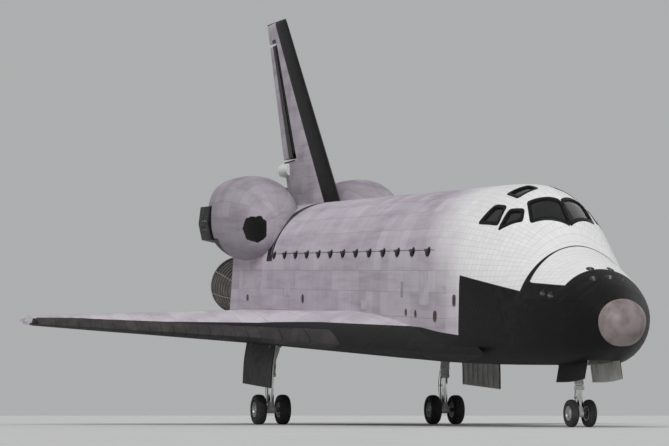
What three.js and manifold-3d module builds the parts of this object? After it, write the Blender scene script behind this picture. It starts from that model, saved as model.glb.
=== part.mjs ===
// Winged space shuttle orbiter, parked on its landing gear, in millimetres.
// +X is forward, +Y is to port, +Z is up, and the origin is on the floor under the middle.
// Shapes are drawn in the orbiter's own axes: station runs aft from ahead of the nose, side is to
// port, and height is up, all three in inches. The whole craft is then pitched as it parks.
import * as THREE from 'three';
import { mergeVertices } from 'three/addons/utils/BufferGeometryUtils.js';
import Module from 'manifold-3d';

const wasm = await Module();
wasm.setup();

const INCH = 25.4;
const MID_STATION = 930;
const PITCH = THREE.MathUtils.degToRad(3.5);
const SEAM = 0.02;
const MOVING_GAP = 0.5;

// Fuselage stations
const NOSE_CAP_END = 254;
const CABIN_END = 582;
const BAY_END = 1307;
const BELLY = 284;
const BODY_HALF = 103;
const WAIST = 400;
const SILL = 420;
const WALL = 5;

// Sections of the fuselage. A section has a flat floor, an elliptic bilge, a straight side up to
// the waist and a rounded roof. Slant leans the section: inches of station per inch of height.
const SECTIONS = [
  { at: 236.3, floor: 334, half: 4, bilgeWide: 4, bilgeHigh: 4, waist: 338, roof: 342, round: 2 },
  { at: 240, floor: 326, half: 13.5, bilgeWide: 13, bilgeHigh: 13, waist: 339, roof: 352, round: 2 },
  { at: 246, floor: 320, half: 21.5, bilgeWide: 20, bilgeHigh: 20, waist: 340, roof: 359, round: 2 },
  { at: 254, floor: 313.5, half: 29, bilgeWide: 26, bilgeHigh: 27, waist: 341, roof: 366, round: 2 },
  { at: 264, floor: 308, half: 36.5, bilgeWide: 31, bilgeHigh: 33, waist: 342, roof: 373, round: 2 },
  { at: 280, floor: 301.5, half: 46, bilgeWide: 36, bilgeHigh: 40, waist: 343, roof: 384, round: 2 },
  { at: 300, floor: 296, half: 54.5, bilgeWide: 38, bilgeHigh: 45, waist: 344, roof: 394, round: 2 },
  { at: 325, floor: 292, half: 62.5, bilgeWide: 38, bilgeHigh: 48, waist: 345, roof: 404, round: 2 },
  { at: 350, floor: 289.5, half: 69.5, bilgeWide: 37, bilgeHigh: 50, waist: 346, roof: 413.5, round: 1.95 },
  { at: 378, floor: 288, half: 76, bilgeWide: 36, bilgeHigh: 50, waist: 347, roof: 425.5, round: 1.85 },
  { at: 400, floor: 287, half: 80.5, bilgeWide: 35, bilgeHigh: 49, waist: 348, roof: 449, round: 1.75 },
  { at: 425, floor: 286, half: 85.5, bilgeWide: 34, bilgeHigh: 48, waist: 350, roof: 474.5, round: 1.75 },
  { at: 440, floor: 285.6, half: 88, bilgeWide: 33, bilgeHigh: 47, waist: 353, roof: 486, round: 1.8 },
  { at: 460, floor: 285, half: 91.5, bilgeWide: 31, bilgeHigh: 45, waist: 358, roof: 493.5, round: 1.85 },
  { at: 485, floor: 284.5, half: 95.5, bilgeWide: 28, bilgeHigh: 42, waist: 368, roof: 499, round: 1.92 },
  { at: 520, floor: BELLY, half: 100, bilgeWide: 22, bilgeHigh: 36, waist: 384, roof: 502, round: 2 },
  { at: 560, floor: BELLY, half: 102.5, bilgeWide: 12, bilgeHigh: 24, waist: 398, roof: 503, round: 2 },
  {
    at: CABIN_END, floor: BELLY, half: BODY_HALF, bilgeWide: 8, bilgeHigh: 16,
    waist: WAIST, roof: 503, round: 2,
  },
  { at: 700, floor: BELLY, half: BODY_HALF, bilgeWide: 4, bilgeHigh: 8, waist: WAIST, roof: 503, round: 2 },
  {
    at: BAY_END, floor: BELLY, half: BODY_HALF, bilgeWide: 4, bilgeHigh: 8,
    waist: WAIST, roof: 503, round: 2,
  },
  { at: 1400, floor: BELLY, half: 105, bilgeWide: 5, bilgeHigh: 9, waist: 404, roof: 502, round: 2.2 },
  {
    at: 1519, floor: 286, half: 110, bilgeWide: 6, bilgeHigh: 10,
    waist: 412, roof: 500, round: 2.4, slant: -0.19,
  },
];
const BILGE_STEPS = 4;
const ROOF_STEPS = 8;

// Flight-deck windows: the corners of each, as a station and an angle round the roof from the side
const WINDOWS = [
  { name: 'front', corners: [[424, 60.5], [404, 88], [429, 88], [446, 66.5]] },
  { name: 'middle', corners: [[456, 44], [436, 54.5], [443, 58.5], [460, 54]] },
  { name: 'side', corners: [[467, 44.5], [474, 54], [491, 52], [495, 40.5]] },
];
const OVERHEAD_WINDOW = { name: 'overhead', corners: [[472, 66], [472, 80], [494, 80], [494, 66]] };
const PANE_LAP = 6;
const CUTTER_DEPTH = 11;
const PANE_THICK = 1.2;
const CABIN = { front: 386, back: 566, floor: 312, deck: 398, deckThick: 3, deckFront: 404, deckBack: 564 };

// Consoles, pedestal and two seats of the flight deck, with heights above the deck
const FURNITURE = [
  { from: 416, to: 426, side: 0, half: 44, low: -1, high: 34 },
  { from: 426, to: 456, side: 0, half: 8, low: -1, high: 16 },
  { from: 552, to: 563, side: 0, half: 60, low: -1, high: 40 },
  { from: 452, to: 474, side: 28, half: 10, low: 0, high: 17 },
  { from: 468, to: 475, side: 28, half: 10, low: 10, high: 46 },
  { from: 452, to: 474, side: -28, half: 10, low: 0, high: 17 },
  { from: 468, to: 475, side: -28, half: 10, low: 10, high: 46 },
];
const HATCH = { at: 490, height: 352, radius: 19.5, gap: 0.8 };

// Thruster ports: station, angle round the roof in degrees, and the side that they are on
const FORWARD_PORTS = [
  { at: 292, angle: 70, side: 1 },
  { at: 292, angle: 70, side: -1 },
  { at: 290, angle: 89, side: 1 },
  { at: 314, angle: 78, side: 1 },
  { at: 314, angle: 78, side: -1 },
  { at: 322, angle: 24, side: 1 },
  { at: 336, angle: 24, side: 1 },
  { at: 322, angle: 24, side: -1 },
  { at: 336, angle: 24, side: -1 },
];
const PORT_RADIUS = 4.6;
const PORT_DEPTH = 5;
const THRUSTER_MODULE = { front: 278, back: 378, floor: 362 };

// Wing, in plan and in thickness
const WING = {
  root: 90, tip: 468.34, gloveNose: 500, gloveSide: 98, kneeSide: 188,
  trailAtCentre: 1525.2, trailSlope: 0.1773, dihedral: THREE.MathUtils.degToRad(3.5),
  hinge: 1387, thickRoot: 56, thickTip: 14, hingeHalfRoot: 13, hingeHalfTip: 4.5,
};
const WING_SIDES = [90, 106, 125, 150, 188, 250, 312.5, 390, 462, 468.34];
// The carbon leading edge, whose first panel runs further back along the steeper edge
const EDGE = { from: 150, depth: 15, firstTo: 160, firstDepth: 3, ahead: 30, low: 200, high: 420 };
const ELEVONS = [
  { name: 'inboard', from: 113.2, to: 311 },
  { name: 'outboard', from: 314, to: 464 },
];
const TRAIL_THICK = 1.6;

// Main landing gear
const MAIN_GEAR = {
  at: 1171, side: 136, axle: 190, trunnion: 302, twin: 18.3,
  tyre: 22.24, tyreWide: 16, rim: 10.55,
};
const MAIN_WELL = { front: 1040, back: 1191, inner: 107, outer: 167, roof: 320 };
const MAIN_STRUT = {
  foot: 238, head: 311, footRadius: 6.5, headRadius: 7, pistonHead: 240, pistonRadius: 4.2,
  pinRadius: 4, bossRadius: 5.6, bossHalf: 7, boreRadius: 3.6,
  linkFoot: 208, linkHead: 246, knee: 226, kneeAft: 15, linkRadius: 1.8,
};
const MAIN_BRACE = {
  foot: 252, headAt: 1104, head: 312, radius: 3, pinRadius: 2.6, half: 14, lug: 3, lugHalf: 6, clear: 7.1,
};
// Outline of a door: inches outboard of the well's side, and above the skin
const MAIN_DOOR = [[0.5, -0.4], [2.5, -0.4], [6.5, -30.4], [7.5, -60.4], [5.5, -60.4], [4.3, -30.4]];

// Nose landing gear; the height of its axle follows from the pitch and from both tyres' radii
const FACETS = 24;
const HUB_FACETS = 16;
const FLAT = Math.cos(Math.PI / FACETS);
const NOSE_GEAR = {
  at: 364, trunnionAt: 372, trunnion: 302, twin: 11, tyre: 16, tyreWide: 8.8, rim: 8.05,
};
const NOSE_WELL = { front: 300, back: 381, half: 21, roof: 334 };
// Shares are of the way from the axle to the trunnion
const NOSE_STRUT = {
  foot: 0.46, head: 1.12, footRadius: 5, headRadius: 5.4, pinRadius: 3, boreFoot: 0.4, boreHead: 0.66,
  boreRadius: 3.9, pistonHead: 0.62, pistonRadius: 3.4, bossRadius: 4.4, bossHalf: 3.4, axleBore: 2.5,
};
const NOSE_BRACE = {
  foot: 0.7, headAt: 322, head: 326, radius: 2, pinRadius: 2.2, half: 9, lug: 3, lugHalf: 4, clear: 5.5,
};
const NOSE_DOOR = [[-1.8, 1.5], [-0.2, 1.5], [-0.2, -2], [2.6, -20], [1, -20], [-1.8, -2]];
const RUN = (MAIN_GEAR.at - NOSE_GEAR.at) * Math.sin(PITCH);
const RISE = (NOSE_GEAR.tyre - MAIN_GEAR.tyre) * FLAT;
const NOSE_AXLE = MAIN_GEAR.axle + (RUN + RISE) / Math.cos(PITCH);

// Vertical tail and its split rudder
const FIN = {
  root: 503, tip: 818.72, lead: 1280.9, leadSlope: 1, trail: 1549.4, trailSlope: 0.4931,
  hingeShare: 0.6, thickness: 0.105, rudderFoot: 581, rudderHead: 777, footGap: 4.2, capFoot: 783.5,
};
// What is cut away under the fin's rear, as stations and heights
const FIN_FOOT = [[1478, 440], [1478, 504], [1500, 504], [1592, 545], [1660, 560], [1660, 440]];
const CHUTE = { front: 1538, back: 1594, height: 563, radius: 11.5 };

// Rear engines
const MAIN_ENGINES = [
  { name: 'top', at: 1445, side: 0, height: 443, pitch: 16, yaw: 0 },
  { name: 'left', at: 1468.17, side: 53, height: 342.64, pitch: 10, yaw: 3.5 },
  { name: 'right', at: 1468.17, side: -53, height: 342.64, pitch: 10, yaw: -3.5 },
];
const POD_ENGINE = { at: 1518, side: 88, height: 492, pitch: 15.8, yaw: 6.5 };
const POD_SECTIONS = [
  { at: 1311, side: 84, height: 452, wide: 14, high: 18 },
  { at: 1330, side: 85, height: 460, wide: 34, high: 38 },
  { at: 1360, side: 86, height: 468, wide: 46, high: 54 },
  { at: 1400, side: 88, height: 474, wide: 52, high: 64 },
  { at: 1450, side: 90, height: 478, wide: 55, high: 68 },
  { at: 1500, side: 90, height: 480, wide: 54, high: 66 },
  { at: 1540, side: 92, height: 484, wide: 50, high: 59 },
  { at: 1562, side: 92, height: 488, wide: 42, high: 48 },
];
const POD_ROUND = 2.4;
const POD_STEPS = 20;
// The thruster housing on each pod's rear corner; its outline is side and height
const POD_THRUSTERS = {
  front: 1512, back: 1574, outline: [[112, 438], [143, 444], [149, 470], [146, 498], [118, 500]],
};
const BODY_FLAP = { hinge: 1532, height: 295.5, radius: 9, half: 124, trail: 1613, trailHeight: 289 };

// Attach fittings under the belly
const FORWARD_FITTING = { front: 386, back: 399, half: 7, foot: 286.2, top: 291 };
const AFT_FITTING = { front: 1307.1, back: 1328, inner: 85, outer: 98.5, foot: 282.6, top: 288 };

// Payload bay doors
const DOOR = { front: 583, back: 1306, inner: 97, outer: 103, foot: 420.6, middleGap: 0.25 };
const DOOR_HINGE = { side: 103.5, height: 420, radius: 1.9, count: 13, long: 9 };
const RADIATOR = { front: 600, back: 1290, inner: 93.4, outer: 96.6, low: 16, high: 85 };
const BAY_RADIUS = 92;

// Materials
const paint = (color, roughness, metalness = 0) =>
  new THREE.MeshStandardMaterial({ color, roughness, metalness });
const MATERIALS = {
  whiteTile: () => paint(0xe9e7e6, 0.45),
  blanket: () => paint(0xcfc8d0, 0.9),
  blackTile: () => paint(0x17171b, 0.55),
  carbon: () => paint(0x6d6468, 0.6),
  glass: () => paint(0x14161c, 0.08),
  bareMetal: () => paint(0x8d9094, 0.35, 0.9),
  bellMetal: () => paint(0x5b5450, 0.4, 0.85),
  gearPaint: () => paint(0xd9d9d6, 0.4, 0.3),
  rubber: () => paint(0x1b1b1c, 0.85),
  radiator: () => paint(0xc9ced6, 0.2, 0.6),
  interior: () => paint(0x6b7076, 0.7),
};

// A point of the orbiter in millimetres, from its station, side and height in inches
function place(station, side, height) {
  return new THREE.Vector3((MID_STATION - station) * INCH, side * INCH, height * INCH);
}

// A closed solid from any closed three.js geometry, with its faces turned outward
function solid(geometry) {
  const bare = geometry.index ? geometry.toNonIndexed() : geometry.clone();
  bare.deleteAttribute('normal');
  bare.deleteAttribute('uv');
  const merged = mergeVertices(bare, 1e-3);
  const points = merged.attributes.position.array;
  const corners = [];
  for (let i = 0; i < merged.index.count; i += 3) {
    const [a, b, c] = [0, 1, 2].map((k) => merged.index.getX(i + k));
    if (a !== b && b !== c && a !== c) corners.push(a, b, c);
  }
  let volume = 0;
  const [p, q, r] = [new THREE.Vector3(), new THREE.Vector3(), new THREE.Vector3()];
  for (let i = 0; i < corners.length; i += 3) {
    p.fromArray(points, corners[i] * 3);
    q.fromArray(points, corners[i + 1] * 3);
    r.fromArray(points, corners[i + 2] * 3);
    volume += p.dot(q.cross(r));
  }
  if (volume < 0) corners.reverse();
  return new wasm.Manifold(new wasm.Mesh({
    numProp: 3,
    vertProperties: new Float32Array(points),
    triVerts: new Uint32Array(corners),
  }));
}

function geometryOf(body) {
  const mesh = body.getMesh();
  const geometry = new THREE.BufferGeometry();
  geometry.setAttribute('position', new THREE.BufferAttribute(new Float32Array(mesh.vertProperties), 3));
  geometry.setIndex(new THREE.BufferAttribute(new Uint32Array(mesh.triVerts), 1));
  geometry.computeVertexNormals();
  return geometry;
}

// The same solid on the starboard side
function mirrored(body) {
  return solid(geometryOf(body).scale(1, -1, 1));
}

function join(...bodies) {
  return bodies.reduce((all, body) => all.add(body));
}

// Rings of equal length skinned into a closed solid with flat ends. Where even is true, a ring runs
// up the port side and down the starboard side, and both sides are divided alike.
function loft(rings, even = false) {
  const count = rings[0].length;
  const positions = rings.flat().flatMap((point) => point.toArray());
  const faces = [];
  for (let row = 0; row < rings.length - 1; row += 1) {
    for (let i = 0; i < count; i += 1) {
      const a = row * count + i;
      const b = row * count + ((i + 1) % count);
      const down = even && i >= (count - 1) / 2;
      if (down) faces.push(a, b, a + count, b, b + count, a + count);
      else faces.push(a, b, b + count, a, b + count, a + count);
    }
  }
  const last = (rings.length - 1) * count;
  for (const [a, b, c] of capFaces(rings[0])) faces.push(c, b, a);
  for (const [a, b, c] of capFaces(rings.at(-1))) faces.push(last + a, last + b, last + c);
  const geometry = new THREE.BufferGeometry();
  geometry.setAttribute('position', new THREE.Float32BufferAttribute(positions, 3));
  geometry.setIndex(faces);
  return solid(geometry);
}

// Triangles over one ring, seen along the axis in which it is thinnest, wound the way the ring runs
function capFaces(ring) {
  const size = new THREE.Box3().setFromPoints(ring).getSize(new THREE.Vector3()).toArray();
  const thin = size.indexOf(Math.min(...size));
  const [u, v] = [0, 1, 2].filter((axis) => axis !== thin);
  const flat = ring.map((point) => new THREE.Vector2(point.getComponent(u), point.getComponent(v)));
  const faces = THREE.ShapeUtils.triangulateShape(flat, []);
  const follows = (from, to) => to === (from + 1) % ring.length;
  const forward = faces.some(([a, b, c]) => follows(a, b) || follows(b, c) || follows(c, a));
  return forward ? faces : faces.map(([a, b, c]) => [a, c, b]);
}

// A box between two corners, each given as station, side and height
function block([stationA, sideA, heightA], [stationB, sideB, heightB]) {
  const box = new THREE.Box3().setFromPoints([
    place(stationA, sideA, heightA),
    place(stationB, sideB, heightB),
  ]);
  const size = box.getSize(new THREE.Vector3());
  const middle = box.getCenter(new THREE.Vector3());
  return solid(new THREE.BoxGeometry(size.x, size.y, size.z).translate(middle.x, middle.y, middle.z));
}

// Turns a geometry that stands along +Y so that it runs from one point towards another
function aim(geometry, from, to) {
  const along = to.clone().sub(from).normalize();
  geometry.applyQuaternion(new THREE.Quaternion().setFromUnitVectors(new THREE.Vector3(0, 1, 0), along));
  return geometry.translate(from.x, from.y, from.z);
}

// A round bar between two points, with radii in inches
function bar(from, to, radius, radiusEnd = radius, sides = 20) {
  const length = from.distanceTo(to);
  const round = new THREE.CylinderGeometry(radiusEnd * INCH, radius * INCH, length, sides);
  return solid(aim(round.translate(0, length / 2, 0), from, to));
}

// A turned body along a line; the profile is a list of [distance along, radius] in inches
function turned(profile, from, to, segments = 32) {
  const points = profile.map(([along, radius]) => new THREE.Vector2(radius * INCH, along * INCH));
  return solid(aim(new THREE.LatheGeometry(points, segments), from, to));
}

const mix = (from, to, share) => from + (to - from) * share;

// The fuselage section at a station, between the two nearest rows of SECTIONS
function sectionAt(station) {
  const next = Math.max(1, SECTIONS.findIndex((row) => row.at >= station));
  const [low, high] = [SECTIONS[next - 1], SECTIONS[next]];
  const share = (station - low.at) / (high.at - low.at);
  const section = {};
  for (const key of Object.keys(low)) section[key] = mix(low[key], high[key], share);
  return section;
}

// A point of the roof skin; the angle runs from 0 at the waist to 90 at the crown
function roofPoint(section, angle, inset = 0) {
  const turn = THREE.MathUtils.degToRad(angle);
  const power = 2 / section.round;
  const side = (section.half - inset) * Math.cos(turn) ** power;
  const height = section.waist + (section.roof - inset - section.waist) * Math.sin(turn) ** power;
  return [side, height];
}

function fuselageRing(section, inset) {
  const floor = section.floor + inset;
  const half = section.half - inset;
  const port = [];
  for (let step = 0; step <= BILGE_STEPS; step += 1) {
    const turn = (step / BILGE_STEPS) * Math.PI / 2;
    port.push([
      half - section.bilgeWide * (1 - Math.sin(turn)),
      floor + section.bilgeHigh * (1 - Math.cos(turn)),
    ]);
  }
  for (let step = 0; step < ROOF_STEPS; step += 1) {
    port.push(roofPoint(section, (90 * step) / ROOF_STEPS, inset));
  }
  const crown = [[0, section.roof - inset]];
  const starboard = port.map(([side, height]) => [-side, height]).reverse();
  return [...port, ...crown, ...starboard].map(([side, height]) => {
    const lean = (section.slant ?? 0) * (height - section.floor);
    return place(section.at + lean, side, height);
  });
}

function fuselage(from, to, inset = 0) {
  const between = SECTIONS.filter((row) => row.at > from && row.at < to);
  const ends = [from, to].map((station) => SECTIONS.find((row) => row.at === station) ?? sectionAt(station));
  return loft([ends[0], ...between, ends[1]].map((row) => fuselageRing(row, inset)), true);
}

// The space that the fuselage aft of a station takes up, a seam larger all round
function fuselageRoom(from) {
  const rows = [sectionAt(from), ...SECTIONS.filter((row) => row.at > from)];
  const rings = rows.map((row) => fuselageRing(row, -SEAM));
  const overrun = rings.at(-1).map((point) => point.clone().add(new THREE.Vector3(-2 * SEAM * INCH, 0, 0)));
  return loft([...rings, overrun], true);
}

// The cutter of one window, square to the skin, grown by some inches all round
function windowCutter(window, grow, side) {
  const corner = (station, angle) => {
    const [y, z] = roofPoint(sectionAt(station), angle);
    return place(station, side * y, z);
  };
  const quad = window.corners.map(([station, angle]) => corner(station, angle));
  const middle = quad.reduce((sum, point) => sum.add(point), new THREE.Vector3()).divideScalar(4);
  const normal = quad[2].clone().sub(quad[0]).cross(quad[3].clone().sub(quad[1])).normalize();
  if (normal.z < 0) normal.negate();
  for (const point of quad) {
    const away = point.clone().sub(middle);
    point.add(away.normalize().multiplyScalar(grow * INCH * Math.SQRT2));
  }
  const depth = CUTTER_DEPTH * INCH;
  const shifted = (reach) => quad.map((point) => point.clone().addScaledVector(normal, reach));
  return loft([shifted(-depth), shifted(depth)]);
}

// Wing: the leading edge, trailing edge, lower surface and thickness at a distance from the centre
function leadStation(side) {
  const glove = (WING.gloveNose - (836 + WING.kneeSide)) / (WING.gloveSide - WING.kneeSide);
  return side < WING.kneeSide ? WING.gloveNose + (side - WING.gloveSide) * glove : 836 + side;
}

const trailStation = (side) => WING.trailAtCentre - WING.trailSlope * side;
const wingShare = (side) => (side - BODY_HALF) / (WING.tip - BODY_HALF);
const wingFloor = (side) => BELLY + Math.max(0, side - BODY_HALF) * Math.tan(WING.dihedral);
const hingeHalf = (side) => mix(WING.hingeHalfRoot, WING.hingeHalfTip, wingShare(side));
const hingeHeight = (side) => wingFloor(side) + hingeHalf(side) + 1;

function wingRing(side) {
  const lead = leadStation(side);
  const back = WING.hinge - hingeHalf(side) - MOVING_GAP;
  const floor = wingFloor(side);
  const shrink = side > 465 ? 0.35 : 1;
  const thick = mix(WING.thickRoot, WING.thickTip, wingShare(side)) * shrink;
  const rise = thick * 0.2;
  const crest = Math.max(lead + (back - lead) * 0.45, lead + 60);
  const backTop = hingeHeight(side) + (hingeHalf(side) + 0.6) * shrink;
  const nose = [lead, floor + rise];
  const upper = [0.02, 0.07, 0.16, 0.32, 0.6, 1].map((share) => {
    const swell = (1 - (1 - share) ** 2) ** 0.7;
    return [lead + (crest - lead) * share, floor + rise + (thick - rise) * swell];
  });
  const slope = [0.5, 1].map((share) => [
    mix(crest, back, share),
    mix(floor + thick, backTop, share ** 1.25),
  ]);
  const reach = (back - lead) * 0.16;
  const lower = [1, 0.55, 0.22, 0.06].map((share) => [
    lead + reach * share,
    floor + rise * (1 - share) ** 2.2,
  ]);
  const outline = [nose, ...upper, ...slope, [back, floor], ...lower];
  return outline.map(([station, height]) => place(station, side, height));
}

// The skin of a control surface: a round nose about its hinge, tapering to a thin trailing edge
function flapRing(hinge, side, height, radius, trail, trailHeight) {
  const nose = [];
  for (let step = 0; step <= 8; step += 1) {
    const turn = Math.PI / 2 + (step / 8) * Math.PI;
    nose.push([hinge + radius * Math.cos(turn), height + radius * Math.sin(turn)]);
  }
  const thin = TRAIL_THICK / 2;
  const outline = [...nose, [trail, trailHeight - thin], [trail, trailHeight + thin]];
  return outline.map(([station, up]) => place(station, side, up));
}

function elevon({ from, to }) {
  return loft([from, to].map((side) => flapRing(
    WING.hinge, side, hingeHeight(side), hingeHalf(side), trailStation(side), wingFloor(side) + 5,
  )));
}

// A flat outline in station and side, raised between two heights
function planPrism(outline, low, high) {
  return loft([low, high].map((height) => outline.map(([station, side]) => place(station, side, height))));
}

function leadingEdgeCutter(extra) {
  const depth = EDGE.depth + extra;
  const sides = [EDGE.from - extra, WING.kneeSide, WING.tip + 10];
  const reach = (side) => depth * Math.SQRT2 * (side < EDGE.firstTo ? EDGE.firstDepth : 1);
  const front = sides.map((side) => [leadStation(side) - EDGE.ahead, side]);
  const back = sides.map((side) => [leadStation(side) + reach(side), side]);
  return planPrism([...front, ...back.reverse()], EDGE.low, EDGE.high);
}

// Tail: chord limits at a height, and half the thickness at the hinge
const finLead = (height) => FIN.lead + (height - FIN.root) * FIN.leadSlope;
const finTrail = (height) => FIN.trail + (height - FIN.root) * FIN.trailSlope;
const finHinge = (height) => mix(finLead(height), finTrail(height), FIN.hingeShare);
const finHalf = (height) => (finTrail(height) - finLead(height)) * FIN.thickness / 2;

function finRing(height) {
  const lead = finLead(height);
  const hinge = finHinge(height);
  const half = finHalf(height);
  const port = [[0.012, 0.14], [0.06, 0.34], [0.2, 0.62], [0.5, 0.9], [1, 1]].map(
    ([share, swell]) => [mix(lead, hinge, share), half * swell],
  );
  const starboard = port.map(([station, side]) => [station, -side]).reverse();
  const trail = finTrail(height);
  const thin = TRAIL_THICK / 2;
  const outline = [[lead, 0], ...port, [trail, thin], [trail, -thin], ...starboard];
  return outline.map(([station, side]) => place(station, side, height));
}

// A cone along the rudder's hinge; share is its radius as a part of the fin's half thickness
function hingeCone(share, extra, low, high) {
  return bar(
    place(finHinge(low), 0, low), place(finHinge(high), 0, high),
    finHalf(low) * share + extra, finHalf(high) * share + extra, 24,
  );
}

function rudderRoom() {
  const rings = [FIN.rudderFoot - FIN.footGap, FIN.capFoot].map((height) => {
    const front = finHinge(height) - finHalf(height) * 1.25 - MOVING_GAP;
    const back = finTrail(height) + 30;
    return [[front, -30], [front, 30], [back, 30], [back, -30]].map(
      ([station, side]) => place(station, side, height),
    );
  });
  return loft(rings);
}

const SHAFT_SHARE = 0.86;

function rudderPanel() {
  const middle = 0.25;
  const rings = [FIN.rudderFoot, FIN.rudderHead].map((height) => {
    const [hinge, half, trail] = [finHinge(height), finHalf(height), finTrail(height)];
    const front = hinge + half * 0.35;
    const outer = mix(half, TRAIL_THICK / 2, (front - hinge) / (trail - hinge));
    const outline = [[front, middle], [trail, middle], [trail, TRAIL_THICK / 2], [front, outer]];
    return outline.map(([station, side]) => place(station, side, height));
  });
  return loft(rings).subtract(hingeCone(SHAFT_SHARE, 0.4, FIN.rudderFoot - 8, FIN.rudderHead + 8));
}

// The line of an engine: a point at a distance aft of its gimbal
function engineLine(engine) {
  const pitch = THREE.MathUtils.degToRad(engine.pitch);
  const yaw = THREE.MathUtils.degToRad(engine.yaw);
  return (distance) => place(
    engine.at + distance * Math.cos(pitch) * Math.cos(yaw),
    engine.side + distance * Math.cos(pitch) * Math.sin(yaw),
    engine.height + distance * Math.sin(pitch),
  );
}

const MAIN_BELL = [
  [28, 0], [28, 27], [34, 30.5], [46, 31], [58, 25], [68, 22.5], [78, 28.5], [94, 35.5],
  [116, 41.3], [142, 45.4], [168, 47], [168, 45.4], [142, 43.6], [116, 39.4], [94, 33.3],
  [78, 25.5], [68, 14], [60, 0],
];
const BELL_FACETS = 24;
const POD_BELL = [
  [20, 0], [20, 10], [32, 11], [44, 15.5], [58, 20.2], [77, 23.2],
  [77, 22.2], [58, 19], [44, 14.2], [33, 6], [28, 0],
];

function podSolid() {
  const ring = (row) => {
    const points = [];
    for (let step = 0; step < POD_STEPS; step += 1) {
      const turn = (step / POD_STEPS) * Math.PI * 2;
      const [c, s] = [Math.cos(turn), Math.sin(turn)];
      const side = row.side + row.wide * Math.sign(c) * Math.abs(c) ** (2 / POD_ROUND);
      const height = row.height + row.high * Math.sign(s) * Math.abs(s) ** (2 / POD_ROUND);
      points.push(place(row.at, side, height));
    }
    return points;
  };
  const thrusters = loft([POD_THRUSTERS.front, POD_THRUSTERS.back].map((station) =>
    POD_THRUSTERS.outline.map(([side, height]) => place(station, side, height))));
  return join(loft(POD_SECTIONS.map(ring)), thrusters);
}

// The stretch of a door or radiator between two radii and two angles about the bay's axis
function bayShell({ front, back, inner, outer }, low, high, steps) {
  const arc = (radius, lowAngle, highAngle) => {
    const points = [];
    for (let step = 0; step <= steps; step += 1) {
      const turn = THREE.MathUtils.degToRad(mix(lowAngle, highAngle, step / steps));
      points.push([radius * Math.cos(turn), WAIST + radius * Math.sin(turn)]);
    }
    return points;
  };
  const outline = [...arc(outer, low.outer, high.outer), ...arc(inner, low.inner, high.inner).reverse()];
  return loft([front, back].map((station) => outline.map(([side, height]) => place(station, side, height))));
}

function bayDoor() {
  const angleOf = (height, radius) => THREE.MathUtils.radToDeg(Math.asin((height - WAIST) / radius));
  const topOf = (radius) => 90 - THREE.MathUtils.radToDeg(Math.asin(DOOR.middleGap / radius));
  const panel = bayShell(
    DOOR,
    { outer: angleOf(DOOR.foot, DOOR.outer), inner: angleOf(DOOR.foot, DOOR.inner) },
    { outer: topOf(DOOR.outer), inner: topOf(DOOR.inner) },
    12,
  );
  const knuckles = [];
  for (let i = 0; i < DOOR_HINGE.count; i += 1) {
    const at = mix(DOOR.front + 20, DOOR.back - 20, i / (DOOR_HINGE.count - 1));
    const [from, to] = [at - DOOR_HINGE.long / 2, at + DOOR_HINGE.long / 2];
    const { side, height, radius } = DOOR_HINGE;
    knuckles.push(bar(place(from, side, height), place(to, side, height), radius, radius, 6));
    knuckles.push(block([from, side - 5, height + 1], [to, side, height + 1.8]));
  }
  return join(panel, ...knuckles);
}

function radiatorPanel() {
  const ends = { outer: RADIATOR.low, inner: RADIATOR.low };
  const tops = { outer: RADIATOR.high, inner: RADIATOR.high };
  return bayShell(RADIATOR, ends, tops, 10);
}

// A wheel's tyre and its hub, both about the Y axis with a flat facet at the bottom
function ringAboutAxle(profile, shift, facets) {
  const points = profile.map(([along, radius]) => new THREE.Vector2(radius * INCH, (along + shift) * INCH));
  return solid(new THREE.LatheGeometry(points, facets, Math.PI / facets));
}

function tyre({ tyre: radius, tyreWide, rim }, shift) {
  const half = tyreWide / 2;
  const port = [
    [half * 0.5, radius], [half * 0.88, radius * 0.91], [half, radius * 0.7], [half * 0.7, rim + 0.16],
  ];
  const starboard = port.map(([along, r]) => [-along, r]).reverse();
  const closed = [...port, ...starboard];
  return ringAboutAxle([...closed, closed[0]], shift, FACETS);
}

function hubs({ rim, twin, tyreWide }, axleRadius) {
  const half = tyreWide * 0.4;
  const port = [[half, 0], [half, rim * 0.4], [half * 0.5, rim * 0.5], [half, rim * 0.9], [half, rim]];
  const profile = [...port, ...port.map(([along, radius]) => [-along, radius]).reverse()];
  const axleProfile = [[-twin, 0], [-twin, axleRadius], [twin, axleRadius], [twin, 0]];
  const axle = ringAboutAxle(axleProfile, 0, HUB_FACETS);
  const rims = [twin, -twin].map((shift) => ringAboutAxle(profile, shift, HUB_FACETS));
  return join(axle, ...rims);
}

const orbiter = new THREE.Group();
orbiter.rotation.y = PITCH;

function add(name, body, material, position = null) {
  const mesh = new THREE.Mesh(geometryOf(body), MATERIALS[material]());
  mesh.name = name;
  if (position) {
    mesh.position.copy(position);
    mesh.rotation.y = -PITCH;
  }
  orbiter.add(mesh);
}

// Adds a port-side solid and its mirror image
function addPair(name, body, material) {
  add(`${name}_left`, body, material);
  add(`${name}_right`, mirrored(body), material);
}

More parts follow.
